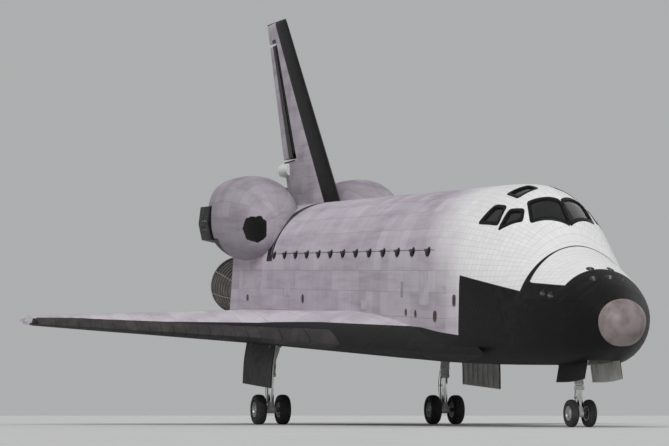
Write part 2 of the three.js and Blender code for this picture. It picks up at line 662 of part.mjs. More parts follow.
function addForwardBody() {
  add('nose_cap', fuselage(SECTIONS[0].at, NOSE_CAP_END), 'carbon');
  const shell = fuselage(NOSE_CAP_END + SEAM, CABIN_END);
  const { front, back, floor } = THRUSTER_MODULE;
  const moduleRoom = block([front, -90, floor], [back, 90, 460]);
  const moduleBlock = block([front + SEAM, -90, floor + SEAM], [back - SEAM, 90, 460]);
  const ports = FORWARD_PORTS.map(({ at, angle, side }) => {
    const section = sectionAt(at);
    const [y, z] = roofPoint(section, angle);
    const skin = place(at, side * y, z);
    const inward = place(at, 0, section.waist).sub(skin).normalize();
    const foot = skin.clone().addScaledVector(inward, PORT_DEPTH * INCH);
    return bar(foot, skin.clone().addScaledVector(inward, -6 * INCH), PORT_RADIUS, PORT_RADIUS, 10);
  });
  add('forward_thruster_module', shell.intersect(moduleBlock).subtract(join(...ports)), 'whiteTile');

  const room = (inset) => fuselage(CABIN.front, CABIN.back, inset)
    .intersect(block([CABIN.front, -120, CABIN.floor], [CABIN.back, 120, 520]));
  const cutters = (rows, grow) => rows.flatMap((row) => [1, -1].map((side) => windowCutter(row, grow, side)));
  const hatchEnds = [60, 130].map((side) => place(HATCH.at, side, HATCH.height));
  const hatchBar = (radius) => bar(...hatchEnds, radius, radius, 32);
  const { half: wellHalf, roof: wellRoof } = NOSE_WELL;
  const well = block([NOSE_WELL.front, -wellHalf, 250], [NOSE_WELL.back, wellHalf, wellRoof]);
  const { front: padFront, back: padBack, half: padHalf, foot: padFoot, top: padTop } = FORWARD_FITTING;
  const fitting = block([padFront, -padHalf, 270], [padBack, padHalf, padTop]);
  const walls = shell.subtract(moduleRoom).subtract(room(WALL));
  add('side_hatch', walls.intersect(hatchBar(HATCH.radius)), 'whiteTile');
  add('forward_fuselage', walls
    .subtract(join(...cutters(WINDOWS, 0), ...cutters([OVERHEAD_WINDOW], 0)))
    .subtract(hatchBar(HATCH.radius + HATCH.gap))
    .subtract(well)
    .subtract(fitting), 'whiteTile');
  add('forward_attach_fitting', block(
    [padFront + SEAM, SEAM - padHalf, padFoot],
    [padBack - SEAM, padHalf - SEAM, padTop - SEAM],
  ), 'bareMetal');

  const pane = room(WALL + SEAM).subtract(room(WALL + PANE_THICK));
  add('windshield_glass', pane.intersect(join(...cutters(WINDOWS, PANE_LAP))), 'glass');
  addPair('overhead_window', pane.intersect(windowCutter(OVERHEAD_WINDOW, PANE_LAP / 2, 1)), 'glass');

  const { deck, deckThick, deckFront, deckBack } = CABIN;
  const furniture = join(
    block([deckFront, -120, deck - deckThick], [deckBack, 120, deck]),
    ...FURNITURE.map(({ from, to, side, half, low, high }) =>
      block([from, side - half, deck + low], [to, side + half, deck + high])),
  );
  add('flight_deck', furniture.intersect(room(WALL + PANE_THICK + 0.2)), 'interior');
}

function addMidBody() {
  const above = block([CABIN_END - 10, -120, SILL - 0.2], [BAY_END + 10, 120, 520]);
  const troughEnds = [CABIN_END - 5, BAY_END + 5].map((station) => place(station, 0, WAIST));
  const trough = bar(...troughEnds, BAY_RADIUS, BAY_RADIUS, 48);
  add('mid_fuselage', fuselage(CABIN_END + SEAM, BAY_END - SEAM).subtract(above).subtract(trough), 'blanket');
  addPair('payload_bay_door', bayDoor(), 'blanket');
  addPair('radiator', radiatorPanel(), 'radiator');
}

function addAftBody() {
  const recess = MAIN_ENGINES.map((engine) => {
    const line = engineLine(engine);
    return bar(line(28 - SEAM), line(110), 32.2, 32.2, 28);
  });
  const { front, back, inner, outer, foot, top } = AFT_FITTING;
  const padRoom = [1, -1].map((side) => block([front - 1.1, side * inner, 270], [back, side * outer, top]));
  const last = SECTIONS.at(-1).at;
  add('aft_fuselage', fuselage(BAY_END, last).subtract(join(...recess, ...padRoom)), 'blanket');
  for (const engine of MAIN_ENGINES) {
    const line = engineLine(engine);
    add(`main_engine_${engine.name}`, turned(MAIN_BELL, line(0), line(1), BELL_FACETS), 'bellMetal');
  }
  const pod = podSolid();
  const line = engineLine(POD_ENGINE);
  const podRoom = bar(line(20 - SEAM), line(120), 19.5, 19.5, 24);
  addPair('oms_pod', pod.subtract(fuselageRoom(1290)).subtract(podRoom), 'blanket');
  addPair('oms_nozzle', turned(POD_BELL, line(0), line(1), 20), 'bellMetal');
  addPair('aft_attach_fitting', block(
    [front, inner + SEAM, foot],
    [back - SEAM, outer - SEAM, top - SEAM],
  ), 'bareMetal');
  const { hinge, height, radius, half, trail, trailHeight } = BODY_FLAP;
  const ring = (side) => flapRing(hinge, side, height, radius, trail, trailHeight);
  add('body_flap', loft([ring(-half), ring(half)]), 'blackTile');
}

function addTail() {
  const heights = [495, 560, FIN.rudderFoot, 680, FIN.capFoot, 808, FIN.tip];
  const footRing = (side) => FIN_FOOT.map(([station, height]) => place(station, side, height));
  const lowCut = loft([footRing(-40), footRing(40)]);
  const chuteLine = [place(CHUTE.front, 0, CHUTE.height), place(CHUTE.back, 0, CHUTE.height)];
  const chuteHole = CHUTE.radius + SEAM;
  const chuteRoom = bar(chuteLine[0], place(1660, 0, CHUTE.height), chuteHole, chuteHole, 20);
  const fin = loft(heights.map(finRing))
    .subtract(rudderRoom())
    .subtract(lowCut)
    .subtract(chuteRoom)
    .subtract(block([1260, -30, 480], [BAY_END + MOVING_GAP, 30, 540]))
    .subtract(fuselageRoom(1260));
  add('vertical_fin', fin, 'blanket');
  const long = CHUTE.back - CHUTE.front - SEAM;
  const chuteProfile = [
    [SEAM, 0], [SEAM, CHUTE.radius], [long - 5, CHUTE.radius], [long, CHUTE.radius - 3], [long, 0],
  ];
  add('drag_chute_housing', turned(chuteProfile, chuteLine[0], chuteLine[1], 20), 'whiteTile');
  add('rudder_shaft', hingeCone(SHAFT_SHARE, 0, FIN.rudderFoot + 6, FIN.rudderHead), 'blackTile');
  addPair('speedbrake_panel', rudderPanel(), 'blanket');
}

function addWings() {
  const whole = loft(WING_SIDES.map(wingRing)).subtract(fuselageRoom(441));
  const well = block(
    [MAIN_WELL.front, MAIN_WELL.inner, 200],
    [MAIN_WELL.back, MAIN_WELL.outer, MAIN_WELL.roof],
  );
  addPair('wing', whole.subtract(leadingEdgeCutter(SEAM)).subtract(well), 'blanket');
  addPair('wing_leading_edge', whole.intersect(leadingEdgeCutter(0)), 'carbon');
  for (const row of ELEVONS) addPair(`elevon_${row.name}`, elevon(row), 'blanket');
}

function addMainGear() {
  const { at, side, axle, trunnion, twin } = MAIN_GEAR;
  const { foot, head, footRadius, headRadius, pistonHead, pistonRadius, pinRadius } = MAIN_STRUT;
  const { bossRadius, bossHalf, boreRadius, linkFoot, linkHead, linkRadius, knee, kneeAft } = MAIN_STRUT;
  const { front, back, inner, outer, roof } = MAIN_WELL;
  const cylinder = join(
    bar(place(at, side, foot), place(at, side, head), footRadius, headRadius, 16),
    bar(place(at, side, axle), place(at, side, pistonHead), pistonRadius, pistonRadius, 12),
    bar(place(at, inner + SEAM, trunnion), place(at, outer - SEAM, trunnion), pinRadius, pinRadius, 12),
    bar(place(at, side - bossHalf, axle), place(at, side + bossHalf, axle), bossRadius, bossRadius, 16),
    bar(place(at, side, linkFoot), place(at + kneeAft, side, knee), linkRadius, linkRadius, 6),
    bar(place(at + kneeAft, side, knee), place(at, side, linkHead), linkRadius, linkRadius, 6),
  );
  const bore = bar(place(at, side - 20, axle), place(at, side + 20, axle), boreRadius, boreRadius, 16);
  addPair('main_gear_strut', cylinder.subtract(bore), 'gearPaint');
  const { headAt, radius, half, lug, lugHalf, clear } = MAIN_BRACE;
  const top = MAIN_BRACE.head;
  const lugs = [side - half, side + half - lug].map((edge) =>
    block([headAt - lugHalf, edge, top - 2], [headAt + lugHalf, edge + lug, roof - SEAM]));
  const braceEnds = [side - half, side + half].map((edge) => place(headAt, edge, top));
  const brace = join(
    bar(place(at, side, MAIN_BRACE.foot), place(headAt, side, top), radius, radius, 12),
    bar(...braceEnds, MAIN_BRACE.pinRadius, MAIN_BRACE.pinRadius, 12),
    ...lugs,
  );
  const strutRoom = bar(place(at, side, foot - 8), place(at, side, head + 6), clear, clear, 20);
  addPair('main_gear_brace', brace.subtract(strutRoom), 'gearPaint');
  const door = loft([front + 1, back - 1].map((station) =>
    MAIN_DOOR.map(([out, up]) => place(station, outer + out, wingFloor(outer) + up))));
  addPair('main_gear_door', door, 'blackTile');
  for (const [word, sign] of [['left', 1], ['right', -1]]) {
    const centre = place(at, sign * side, axle);
    add(`main_wheels_${word}`, hubs(MAIN_GEAR, 3.2), 'bareMetal', centre);
    add(`main_tyre_${word}_outer`, tyre(MAIN_GEAR, sign * twin), 'rubber', centre);
    add(`main_tyre_${word}_inner`, tyre(MAIN_GEAR, -sign * twin), 'rubber', centre);
  }
}

function addNoseGear() {
  const { at, trunnionAt, trunnion, twin } = NOSE_GEAR;
  const { front, back, half, roof } = NOSE_WELL;
  const axle = place(at, 0, NOSE_AXLE);
  const top = place(trunnionAt, 0, trunnion);
  const along = (share) => axle.clone().lerp(top, share);
  const { foot, head, footRadius, headRadius, pinRadius, boreFoot, boreHead, boreRadius } = NOSE_STRUT;
  const { pistonHead, pistonRadius, bossRadius, bossHalf, axleBore } = NOSE_STRUT;
  const pinEnds = [SEAM - half, half - SEAM].map((side) => place(trunnionAt, side, trunnion));
  const housing = join(
    bar(along(foot), along(head), footRadius, headRadius, 20),
    bar(pinEnds[0], pinEnds[1], pinRadius, pinRadius, 16),
  );
  const sleeve = bar(along(boreFoot), along(boreHead), boreRadius, boreRadius, 16);
  add('nose_gear_strut', housing.subtract(sleeve), 'gearPaint');
  const piston = join(
    bar(along(0), along(pistonHead), pistonRadius, pistonRadius, 16),
    bar(place(at, -bossHalf, NOSE_AXLE), place(at, bossHalf, NOSE_AXLE), bossRadius, bossRadius, 20),
  );
  const bore = bar(place(at, -20, NOSE_AXLE), place(at, 20, NOSE_AXLE), axleBore, axleBore, 20);
  add('nose_gear_piston', piston.subtract(bore), 'bareMetal');
  const { headAt, radius, lug, lugHalf, clear } = NOSE_BRACE;
  const pin = NOSE_BRACE.half;
  const height = NOSE_BRACE.head;
  const lugs = [-pin, pin - lug].map((edge) =>
    block([headAt - lugHalf, edge, height - 2], [headAt + lugHalf, edge + lug, roof - SEAM]));
  const braceEnds = [-pin, pin].map((side) => place(headAt, side, height));
  const brace = join(
    bar(along(NOSE_BRACE.foot), place(headAt, 0, height), radius, radius, 12),
    bar(...braceEnds, NOSE_BRACE.pinRadius, NOSE_BRACE.pinRadius, 12),
    ...lugs,
  );
  add('nose_gear_brace', brace.subtract(bar(along(0.3), along(1.3), clear, clear, 20)), 'gearPaint');
  const door = loft([front + 1, 325, 350, back - 1].map((station) =>
    NOSE_DOOR.map(([out, up]) => place(station, half + out, sectionAt(station).floor + up))));
  addPair('nose_gear_door', door, 'blackTile');
  add('nose_wheels', hubs(NOSE_GEAR, 2.2), 'bareMetal', axle);
  add('nose_tyre_left', tyre(NOSE_GEAR, twin), 'rubber', axle);
  add('nose_tyre_right', tyre(NOSE_GEAR, -twin), 'rubber', axle);
}

addForwardBody();
addMidBody();
addAftBody();
addTail();
addWings();
addMainGear();
addNoseGear();

// The floor is under the tyres, and the origin is under the middle of the whole craft
const shuttle = new THREE.Group();
shuttle.add(orbiter);
shuttle.updateMatrixWorld(true);
const extent = new THREE.Box3().setFromObject(shuttle, true);
const middle = extent.getCenter(new THREE.Vector3());
orbiter.position.set(-middle.x, -middle.y, -extent.min.z);

export default shuttle;
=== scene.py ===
# The looks of a winged space shuttle orbiter that is parked on its landing gear.
import math

import bmesh
import bpy
import numpy as np
from mathutils import Matrix, Vector


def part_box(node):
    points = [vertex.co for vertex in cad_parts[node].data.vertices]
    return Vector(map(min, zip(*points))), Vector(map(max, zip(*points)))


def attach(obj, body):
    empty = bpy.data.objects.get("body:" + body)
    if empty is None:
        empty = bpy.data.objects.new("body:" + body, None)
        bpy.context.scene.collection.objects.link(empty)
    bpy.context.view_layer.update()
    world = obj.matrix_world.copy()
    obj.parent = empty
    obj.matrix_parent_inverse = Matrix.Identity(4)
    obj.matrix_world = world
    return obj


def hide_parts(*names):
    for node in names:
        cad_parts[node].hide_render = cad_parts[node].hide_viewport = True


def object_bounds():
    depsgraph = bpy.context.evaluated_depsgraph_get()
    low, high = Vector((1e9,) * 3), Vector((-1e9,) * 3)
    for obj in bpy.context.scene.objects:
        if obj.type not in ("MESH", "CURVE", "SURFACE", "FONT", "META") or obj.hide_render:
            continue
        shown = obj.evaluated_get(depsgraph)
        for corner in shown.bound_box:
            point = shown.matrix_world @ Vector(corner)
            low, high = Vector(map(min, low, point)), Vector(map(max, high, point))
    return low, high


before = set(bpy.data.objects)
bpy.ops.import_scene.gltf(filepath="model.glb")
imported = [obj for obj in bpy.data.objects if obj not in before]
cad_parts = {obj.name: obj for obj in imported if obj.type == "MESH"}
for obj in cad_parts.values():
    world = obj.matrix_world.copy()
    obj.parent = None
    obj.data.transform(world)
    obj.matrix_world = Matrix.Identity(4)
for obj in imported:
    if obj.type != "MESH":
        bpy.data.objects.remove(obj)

CAD_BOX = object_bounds()

# Shapes are drawn in the orbiter's own axes, in inches: station runs aft from ahead of the nose,
# side is to port and height is up. The whole craft is pitched nose down as it parks.
INCH = 0.0254
# Ways along these axes
AFT, TO_PORT, UP = (1, 0, 0), (0, 1, 0), (0, 0, 1)
MID_STATION = 930
PITCH = math.radians(3.5)
MAIN_AXLE = {"station": 1171, "side": 136, "height": 190}
TURN = Matrix.Rotation(PITCH, 3, "Y")


def body_metres(station, side, height):
    return Vector(((MID_STATION - station) * INCH, side * INCH, height * INCH))


WHEEL_LOW, WHEEL_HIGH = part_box("main_wheels_left")
SHIFT = (WHEEL_LOW + WHEEL_HIGH) / 2 - TURN @ body_metres(*MAIN_AXLE.values())

# Fuselage sections, as in the CAD model
FIELDS = ("at", "floor", "half", "bilge_wide", "bilge_high", "waist", "roof", "round", "slant")
SECTIONS = [
    (235.8, 338, 0, 0, 0, 338, 338, 2, 0),
    (236.3, 334, 4, 4, 4, 338, 342, 2, 0),
    (240, 326, 13.5, 13, 13, 339, 352, 2, 0),
    (246, 320, 21.5, 20, 20, 340, 359, 2, 0),
    (254, 313.5, 29, 26, 27, 341, 366, 2, 0),
    (264, 308, 36.5, 31, 33, 342, 373, 2, 0),
    (280, 301.5, 46, 36, 40, 343, 384, 2, 0),
    (300, 296, 54.5, 38, 45, 344, 394, 2, 0),
    (325, 292, 62.5, 38, 48, 345, 404, 2, 0),
    (350, 289.5, 69.5, 37, 50, 346, 413.5, 1.95, 0),
    (378, 288, 76, 36, 50, 347, 425.5, 1.85, 0),
    (400, 287, 80.5, 35, 49, 348, 449, 1.75, 0),
    (425, 286, 85.5, 34, 48, 350, 474.5, 1.75, 0),
    (440, 285.6, 88, 33, 47, 353, 486, 1.8, 0),
    (460, 285, 91.5, 31, 45, 358, 493.5, 1.85, 0),
    (485, 284.5, 95.5, 28, 42, 368, 499, 1.92, 0),
    (520, 284, 100, 22, 36, 384, 502, 2, 0),
    (560, 284, 102.5, 12, 24, 398, 503, 2, 0),
    (582, 284, 103, 8, 16, 400, 503, 2, 0),
    (700, 284, 103, 4, 8, 400, 503, 2, 0),
    (1307, 284, 103, 4, 8, 400, 503, 2, 0),
    (1400, 284, 105, 5, 9, 404, 502, 2.2, 0),
    (1519, 286, 110, 6, 10, 412, 500, 2.4, -0.19),
]
NOSE_TIP = 235.8
NOSE_CAP_END = 254
CABIN_END = 582
BAY_END = 1307
TAIL_END = 1519
BELLY = 284
BODY_HALF = 103
WAIST = 400
SILL = 420
WALL = 5
GAP = 0.5
# Points along the parts of a section's outline
FLANK_STEPS = {"floor": 3, "bilge": 8, "side": 5}
ROOF_STEPS = 26

# Corners of the windows as stations and angles round the roof, and inches of arc for a degree
WINDOWS = {
    "front": [(424, 60.5), (404, 88), (429, 88), (446, 66.5)],
    "middle": [(456, 44), (436, 54.5), (443, 58.5), (460, 54)],
    "side": [(467, 44.5), (474, 54), (491, 52), (495, 40.5)],
    "overhead": [(472, 66), (472, 80), (494, 80), (494, 66)],
}
DEGREE = 1.7
# The nearest to the crown that a window's outline may come
MOST_ANGLE = 89.9
CABIN = {"front": 386, "back": 566, "floor": 312}
HATCH = {"at": 490, "height": 352, "radius": 19.5, "gap": 0.8}
MODULE = {"front": 278, "back": 378, "floor": 362}
PORTS = [(292, 70, 1), (292, 70, -1), (290, 89, 1), (314, 78, 1), (314, 78, -1),
         (322, 24, 1), (336, 24, 1), (322, 24, -1), (336, 24, -1)]
PORT_RADIUS = 4.6
# The pocket of the forward attach fitting
ATTACH_ROOM = ((386, -7, 270), (399, 7, 291))
NOSE_WELL = {"front": 300, "back": 381, "half": 21, "roof": 334}
DOOR = {"front": 583, "back": 1306, "inner": 97, "outer": 103, "foot": 420.6, "middle": 0.25}
HINGES = {"side": 103.5, "height": 420, "radius": 1.9, "count": 13, "long": 9}
HINGE_SPOTS = np.linspace(DOOR["front"] + 20, DOOR["back"] - 20, HINGES["count"])
RADIATOR = {"front": 600, "back": 1290, "inner": 93.4, "outer": 96.6, "low": 16, "high": 85}
BAY_RADIUS = 92

WING = {"tip": 468.34, "glove_nose": 500, "glove_side": 98, "knee": 188, "lead": 836, "trail": 1525.2,
        "slope": 0.1773, "rise": math.tan(math.radians(3.5)), "hinge": 1387, "root": 56, "thin": 14,
        "half_root": 13, "half_tip": 4.5}
# Inches aft for an inch of side along the glove's leading edge
GLOVE_RUN = (WING["glove_nose"] - WING["lead"] - WING["knee"]) / (WING["glove_side"] - WING["knee"])
# Each elevon's name, its name in the bodies, and the sides that it runs from and to
ELEVONS = [("inboard", "in", 113.2, 311), ("outboard", "out", 314, 464)]
MAIN_WELL = {"front": 1040, "back": 1191, "inner": 107, "outer": 167, "roof": 320}
FIN = {"root": 503, "tip": 818.72, "lead": 1280.9, "trail": 1549.4, "slope": 0.4931, "hinge": 0.6,
       "thickness": 0.105, "foot": 581, "head": 777, "foot_gap": 4.2, "cap": 783.5, "round": 10.72}
CHUTE = {"front": 1538, "back": 1594, "height": 563, "radius": 11.5}
MAIN_ENGINES = {
    "top": {"at": (1445, 0, 443), "pitch": 16, "yaw": 0},
    "left": {"at": (1468.17, 53, 342.64), "pitch": 10, "yaw": 3.5},
    "right": {"at": (1468.17, -53, 342.64), "pitch": 10, "yaw": -3.5},
}
POD_ENGINE = {"at": (1518, 88, 492), "pitch": 15.8, "yaw": 6.5}
POD_SECTIONS = [
    (1307, 84, 448, 0, 0), (1311, 84, 452, 14, 18), (1330, 85, 460, 34, 38), (1360, 86, 468, 46, 54),
    (1400, 88, 474, 52, 64), (1450, 90, 478, 55, 68), (1500, 90, 480, 54, 66), (1540, 92, 484, 50, 59),
    (1562, 92, 488, 42, 48),
]
POD_ROUND = 2.4
FLAP = {"hinge": 1532, "height": 295.5, "radius": 9, "half": 124, "trail": 1613, "trail_height": 289}
THIN = 1.6


# Points and curves

def to_frame(points):
    """Station, side and height in inches, as metres of the frame."""
    p = np.asarray(points, float)
    body = np.stack([(MID_STATION - p[..., 0]) * INCH, p[..., 1] * INCH, p[..., 2] * INCH], -1)
    return body @ np.array(TURN).T + np.array(SHIFT)


def mix(a, b, share):
    return a + (b - a) * share


class Smooth:
    """A smooth curve through rows of numbers that doesn't overshoot between them."""

    def __init__(self, x, y):
        self.x, self.y = np.asarray(x, float), np.asarray(y, float)
        step = np.diff(self.x)
        rise = np.diff(self.y) / step
        self.slope = np.zeros(len(self.x))
        self.slope[0], self.slope[-1] = rise[0], rise[-1]
        same = rise[:-1] * rise[1:] > 0
        low, high = step[:-1] + 2 * step[1:], 2 * step[:-1] + step[1:]
        inner = np.zeros(len(same))
        inner[same] = (low + high)[same] / (low[same] / rise[:-1][same] + high[same] / rise[1:][same])
        self.slope[1:-1] = inner

    def __call__(self, at):
        at = np.clip(at, self.x[0], self.x[-1])
        i = np.clip(np.searchsorted(self.x, at) - 1, 0, len(self.x) - 2)
        h = self.x[i + 1] - self.x[i]
        t = (at - self.x[i]) / h
        return (self.y[i] * (1 + 2 * t) * (1 - t) ** 2 + self.slope[i] * h * t * (1 - t) ** 2
                + self.y[i + 1] * t * t * (3 - 2 * t) + self.slope[i + 1] * h * t * t * (t - 1))


ROOT_OF_STATION = np.sqrt(np.array([row[0] for row in SECTIONS]) - NOSE_TIP)
SECTION_CURVES = {f: Smooth(ROOT_OF_STATION, [row[k] for row in SECTIONS]) for k, f in enumerate(FIELDS)}


def section(station):
    """The fuselage section at a station, from curves that run on the root of the distance from the tip."""
    at = math.sqrt(max(station - NOSE_TIP, 0))
    return {f: float(curve(at)) for f, curve in SECTION_CURVES.items()}


def roof_point(station, angle, inset=0.0):
    """A point of the roof skin. The angle is 0 at the port waist, 90 at the crown and 180 at starboard."""
    s = section(station)
    flip = -1 if angle > 90 else 1
    turn = math.radians(180 - angle if angle > 90 else angle)
    power = 2 / s["round"]
    side = (s["half"] - inset) * max(math.cos(turn), 0) ** power
    height = s["waist"] + (s["roof"] - inset - s["waist"]) * max(math.sin(turn), 0) ** power
    return [station, flip * side, height]


def flank(s, half, floor):
    """Half of a section, as sides and heights: from the keel out, round the bilge and up to the waist."""
    reach = half - s["bilge_wide"] if s["half"] > 0 else 0
    port = [[reach * k / FLANK_STEPS["floor"], floor] for k in range(FLANK_STEPS["floor"])]
    for k in range(FLANK_STEPS["bilge"] + 1):
        turn = k / FLANK_STEPS["bilge"] * math.pi / 2
        port.append([half - s["bilge_wide"] * (1 - math.sin(turn)),
                     floor + s["bilge_high"] * (1 - math.cos(turn))])
    top = floor + s["bilge_high"]
    steps = FLANK_STEPS["side"]
    return port + [[half, mix(top, s["waist"], k / steps)] for k in range(1, steps)]


def both_sides(port):
    """A port outline from keel to crown, carried on down the starboard side."""
    return port + [[-y, z] for y, z in reversed(port[1:-1])]


def fuselage_ring(station, inset=0.0):
    s = section(station)
    port = flank(s, max(s["half"] - inset, 0), s["floor"] + inset)
    port += [roof_point(station, 90 * k / ROOF_STEPS, inset)[1:] for k in range(ROOF_STEPS + 1)]
    return [[station + s["slant"] * (z - s["floor"]), y, z] for y, z in both_sides(port)]


# Solids: a pair of points and faces, in the orbiter's axes

def loft(rings, closed=True, caps=True):
    """Rings of equal length skinned into a surface, with flat ends where caps is true."""
    count = len(rings[0])
    points = [list(q) for ring in rings for q in ring]
    faces = []
    for row in range(len(rings) - 1):
        for i in range(count if closed else count - 1):
            a, b = row * count + i, row * count + (i + 1) % count
            faces.append([a, b, b + count, a + count])
    if caps:
        faces.append(list(range(count))[::-1])
        faces.append([(len(rings) - 1) * count + i for i in range(count)])
    return points, faces


def mirrored(solid):
    points, faces = solid
    return [[s, -y, z] for s, y, z in points], [face[::-1] for face in faces]


def moved(solid, station=0.0, side=0.0, height=0.0):
    return [[s + station, y + side, z + height] for s, y, z in solid[0]], solid[1]


def drawn(outline, *rows):
    """An outline of side and height, skinned from station to station."""
    return loft([[[s, y, z] for y, z in outline] for s in rows])


def hoop(rings):
    """Rings skinned round to a closed hoop."""
    return loft([*rings, rings[0]], caps=False)


def box(low, high):
    (front, b, c), (back, e, f) = low, high
    return drawn([[b, c], [e, c], [e, f], [b, f]], front, back)


def basis(along):
    along = np.asarray(along, float)
    along = along / np.linalg.norm(along)
    other = np.array([0, 0, 1.0]) if abs(along[2]) < 0.9 else np.array([0, 1.0, 0])
    u = np.cross(other, along)
    u /= np.linalg.norm(u)
    return along, u, np.cross(along, u)


def lathe(profile, start, along, segments=64):
    """A profile of (distance along, radius) turned about a line. One with both ends off the line is
    joined up, and a single end off it gets a flat face."""
    profile = [tuple(p) for p in profile]
    first, last = profile[0], profile[-1]
    if first[1] and last[1]:
        profile.append(first)
    elif first[1]:
        profile.insert(0, (first[0], 0))
    elif last[1]:
        profile.append((last[0], 0))
    along, u, v = basis(along)
    start = np.asarray(start, float)
    arms = [u * math.cos(t) + v * math.sin(t) for t in (2 * math.pi * k / segments for k in range(segments))]
    return loft([[start + along * distance + radius * arm for arm in arms] for distance, radius in profile],
                caps=False)


def tube(path, radius, sides=10):
    """A round bar along a path of points, with flat ends."""
    path = [np.asarray(p, float) for p in path]
    rings = []
    for k, p in enumerate(path):
        before, after = path[max(k - 1, 0)], path[min(k + 1, len(path) - 1)]
        _, u, v = basis(after - before)
        r = radius[k] if isinstance(radius, (list, tuple)) else radius
        rings.append([p + r * (u * math.cos(t) + v * math.sin(t))
                      for t in (2 * math.pi * i / sides for i in range(sides))])
    return loft(rings)


def bar(start, end, radius, sides=20, radius_end=None):
    return tube([start, end], [radius, radius if radius_end is None else radius_end], sides)


# Pieces: meshes that ride on a body of the frame

def mesh_of(name, parts):
    points, faces, slots, paints = [], [], [], []
    for (corners, polygons), paint in parts:
        start = len(points)
        points += [list(q) for q in corners]
        faces += [[start + i for i in face] for face in polygons]
        if paint not in paints:
            paints.append(paint)
        slots += [paints.index(paint)] * len(polygons)
    mesh = bpy.data.meshes.new(name)
    mesh.from_pydata([tuple(q) for q in to_frame(points)], [], faces)
    for paint in paints:
        mesh.materials.append(paint)
    mesh.polygons.foreach_set("material_index", slots)
    mesh.validate()
    return mesh


def made(name, data):
    obj = bpy.data.objects.new(name, data)
    bpy.context.scene.collection.objects.link(obj)
    return obj


def settle(obj):
    """Takes the modifiers' result as the object's own mesh."""
    graph = bpy.context.evaluated_depsgraph_get()
    result = bpy.data.meshes.new_from_object(obj.evaluated_get(graph), depsgraph=graph)
    obj.modifiers.clear()
    old, obj.data = obj.data, result
    bpy.data.meshes.remove(old)


def tidy_normals(mesh):
    work = bmesh.new()
    work.from_mesh(mesh)
    bmesh.ops.remove_doubles(work, verts=work.verts, dist=1e-5)
    loose = [corner for corner in work.verts if not corner.link_faces]
    bmesh.ops.delete(work, geom=loose, context="VERTS")
    bmesh.ops.recalc_face_normals(work, faces=work.faces)
    work.to_mesh(mesh)
    work.free()


def piece(name, parts, body, replaces=(), slot=None, smooth=32, cuts=(), keep=(), bevel=0.0):
    """A piece from solids and their materials. cuts are taken away and keep is what is left of it; each is a
    list of solids with the material of the cut faces. bevel is in inches."""
    obj = made(name, mesh_of(name, parts))
    tidy_normals(obj.data)
    helpers = []
    for operation, solids in (("DIFFERENCE", cuts), ("INTERSECT", keep)):
        for k, cutter in enumerate(solids):
            helper = made(f"{name}_cut_{k}", mesh_of("cut", [cutter]))
            tidy_normals(helper.data)
            helpers.append(helper)
            modifier = obj.modifiers.new(f"cut_{operation}_{k}", "BOOLEAN")
            modifier.object, modifier.operation, modifier.solver = helper, operation, "EXACT"
            modifier.material_mode = "TRANSFER"
    if bevel:
        modifier = obj.modifiers.new("bevel", "BEVEL")
        modifier.width, modifier.segments, modifier.limit_method = bevel * INCH, 3, "ANGLE"
        modifier.angle_limit = math.radians(35)
    if obj.modifiers:
        settle(obj)
    for helper in helpers:
        bpy.data.objects.remove(helper)
    obj.data.polygons.foreach_set("use_smooth", [True] * len(obj.data.polygons))
    obj.data.set_sharp_from_angle(angle=math.radians(smooth))
    obj.name = name
    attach(obj, body)
    if replaces:
        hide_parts(*replaces)
    return obj


def pair(name, parts, bodies, replaces=(), cuts=(), **options):
    """A port-side piece and its mirror image. A name with {} takes left or right."""
    for word in ("left", "right"):
        if word == "right":
            parts, cuts = [[(mirrored(s), paint) for s, paint in group] for group in (parts, cuts)]
        piece(f"{name}_{word}", parts, bodies.format(word), replaces=[r.format(word) for r in replaces],
              cuts=cuts, **options)


# Materials: nodes that work in the orbiter's own axes, in inches

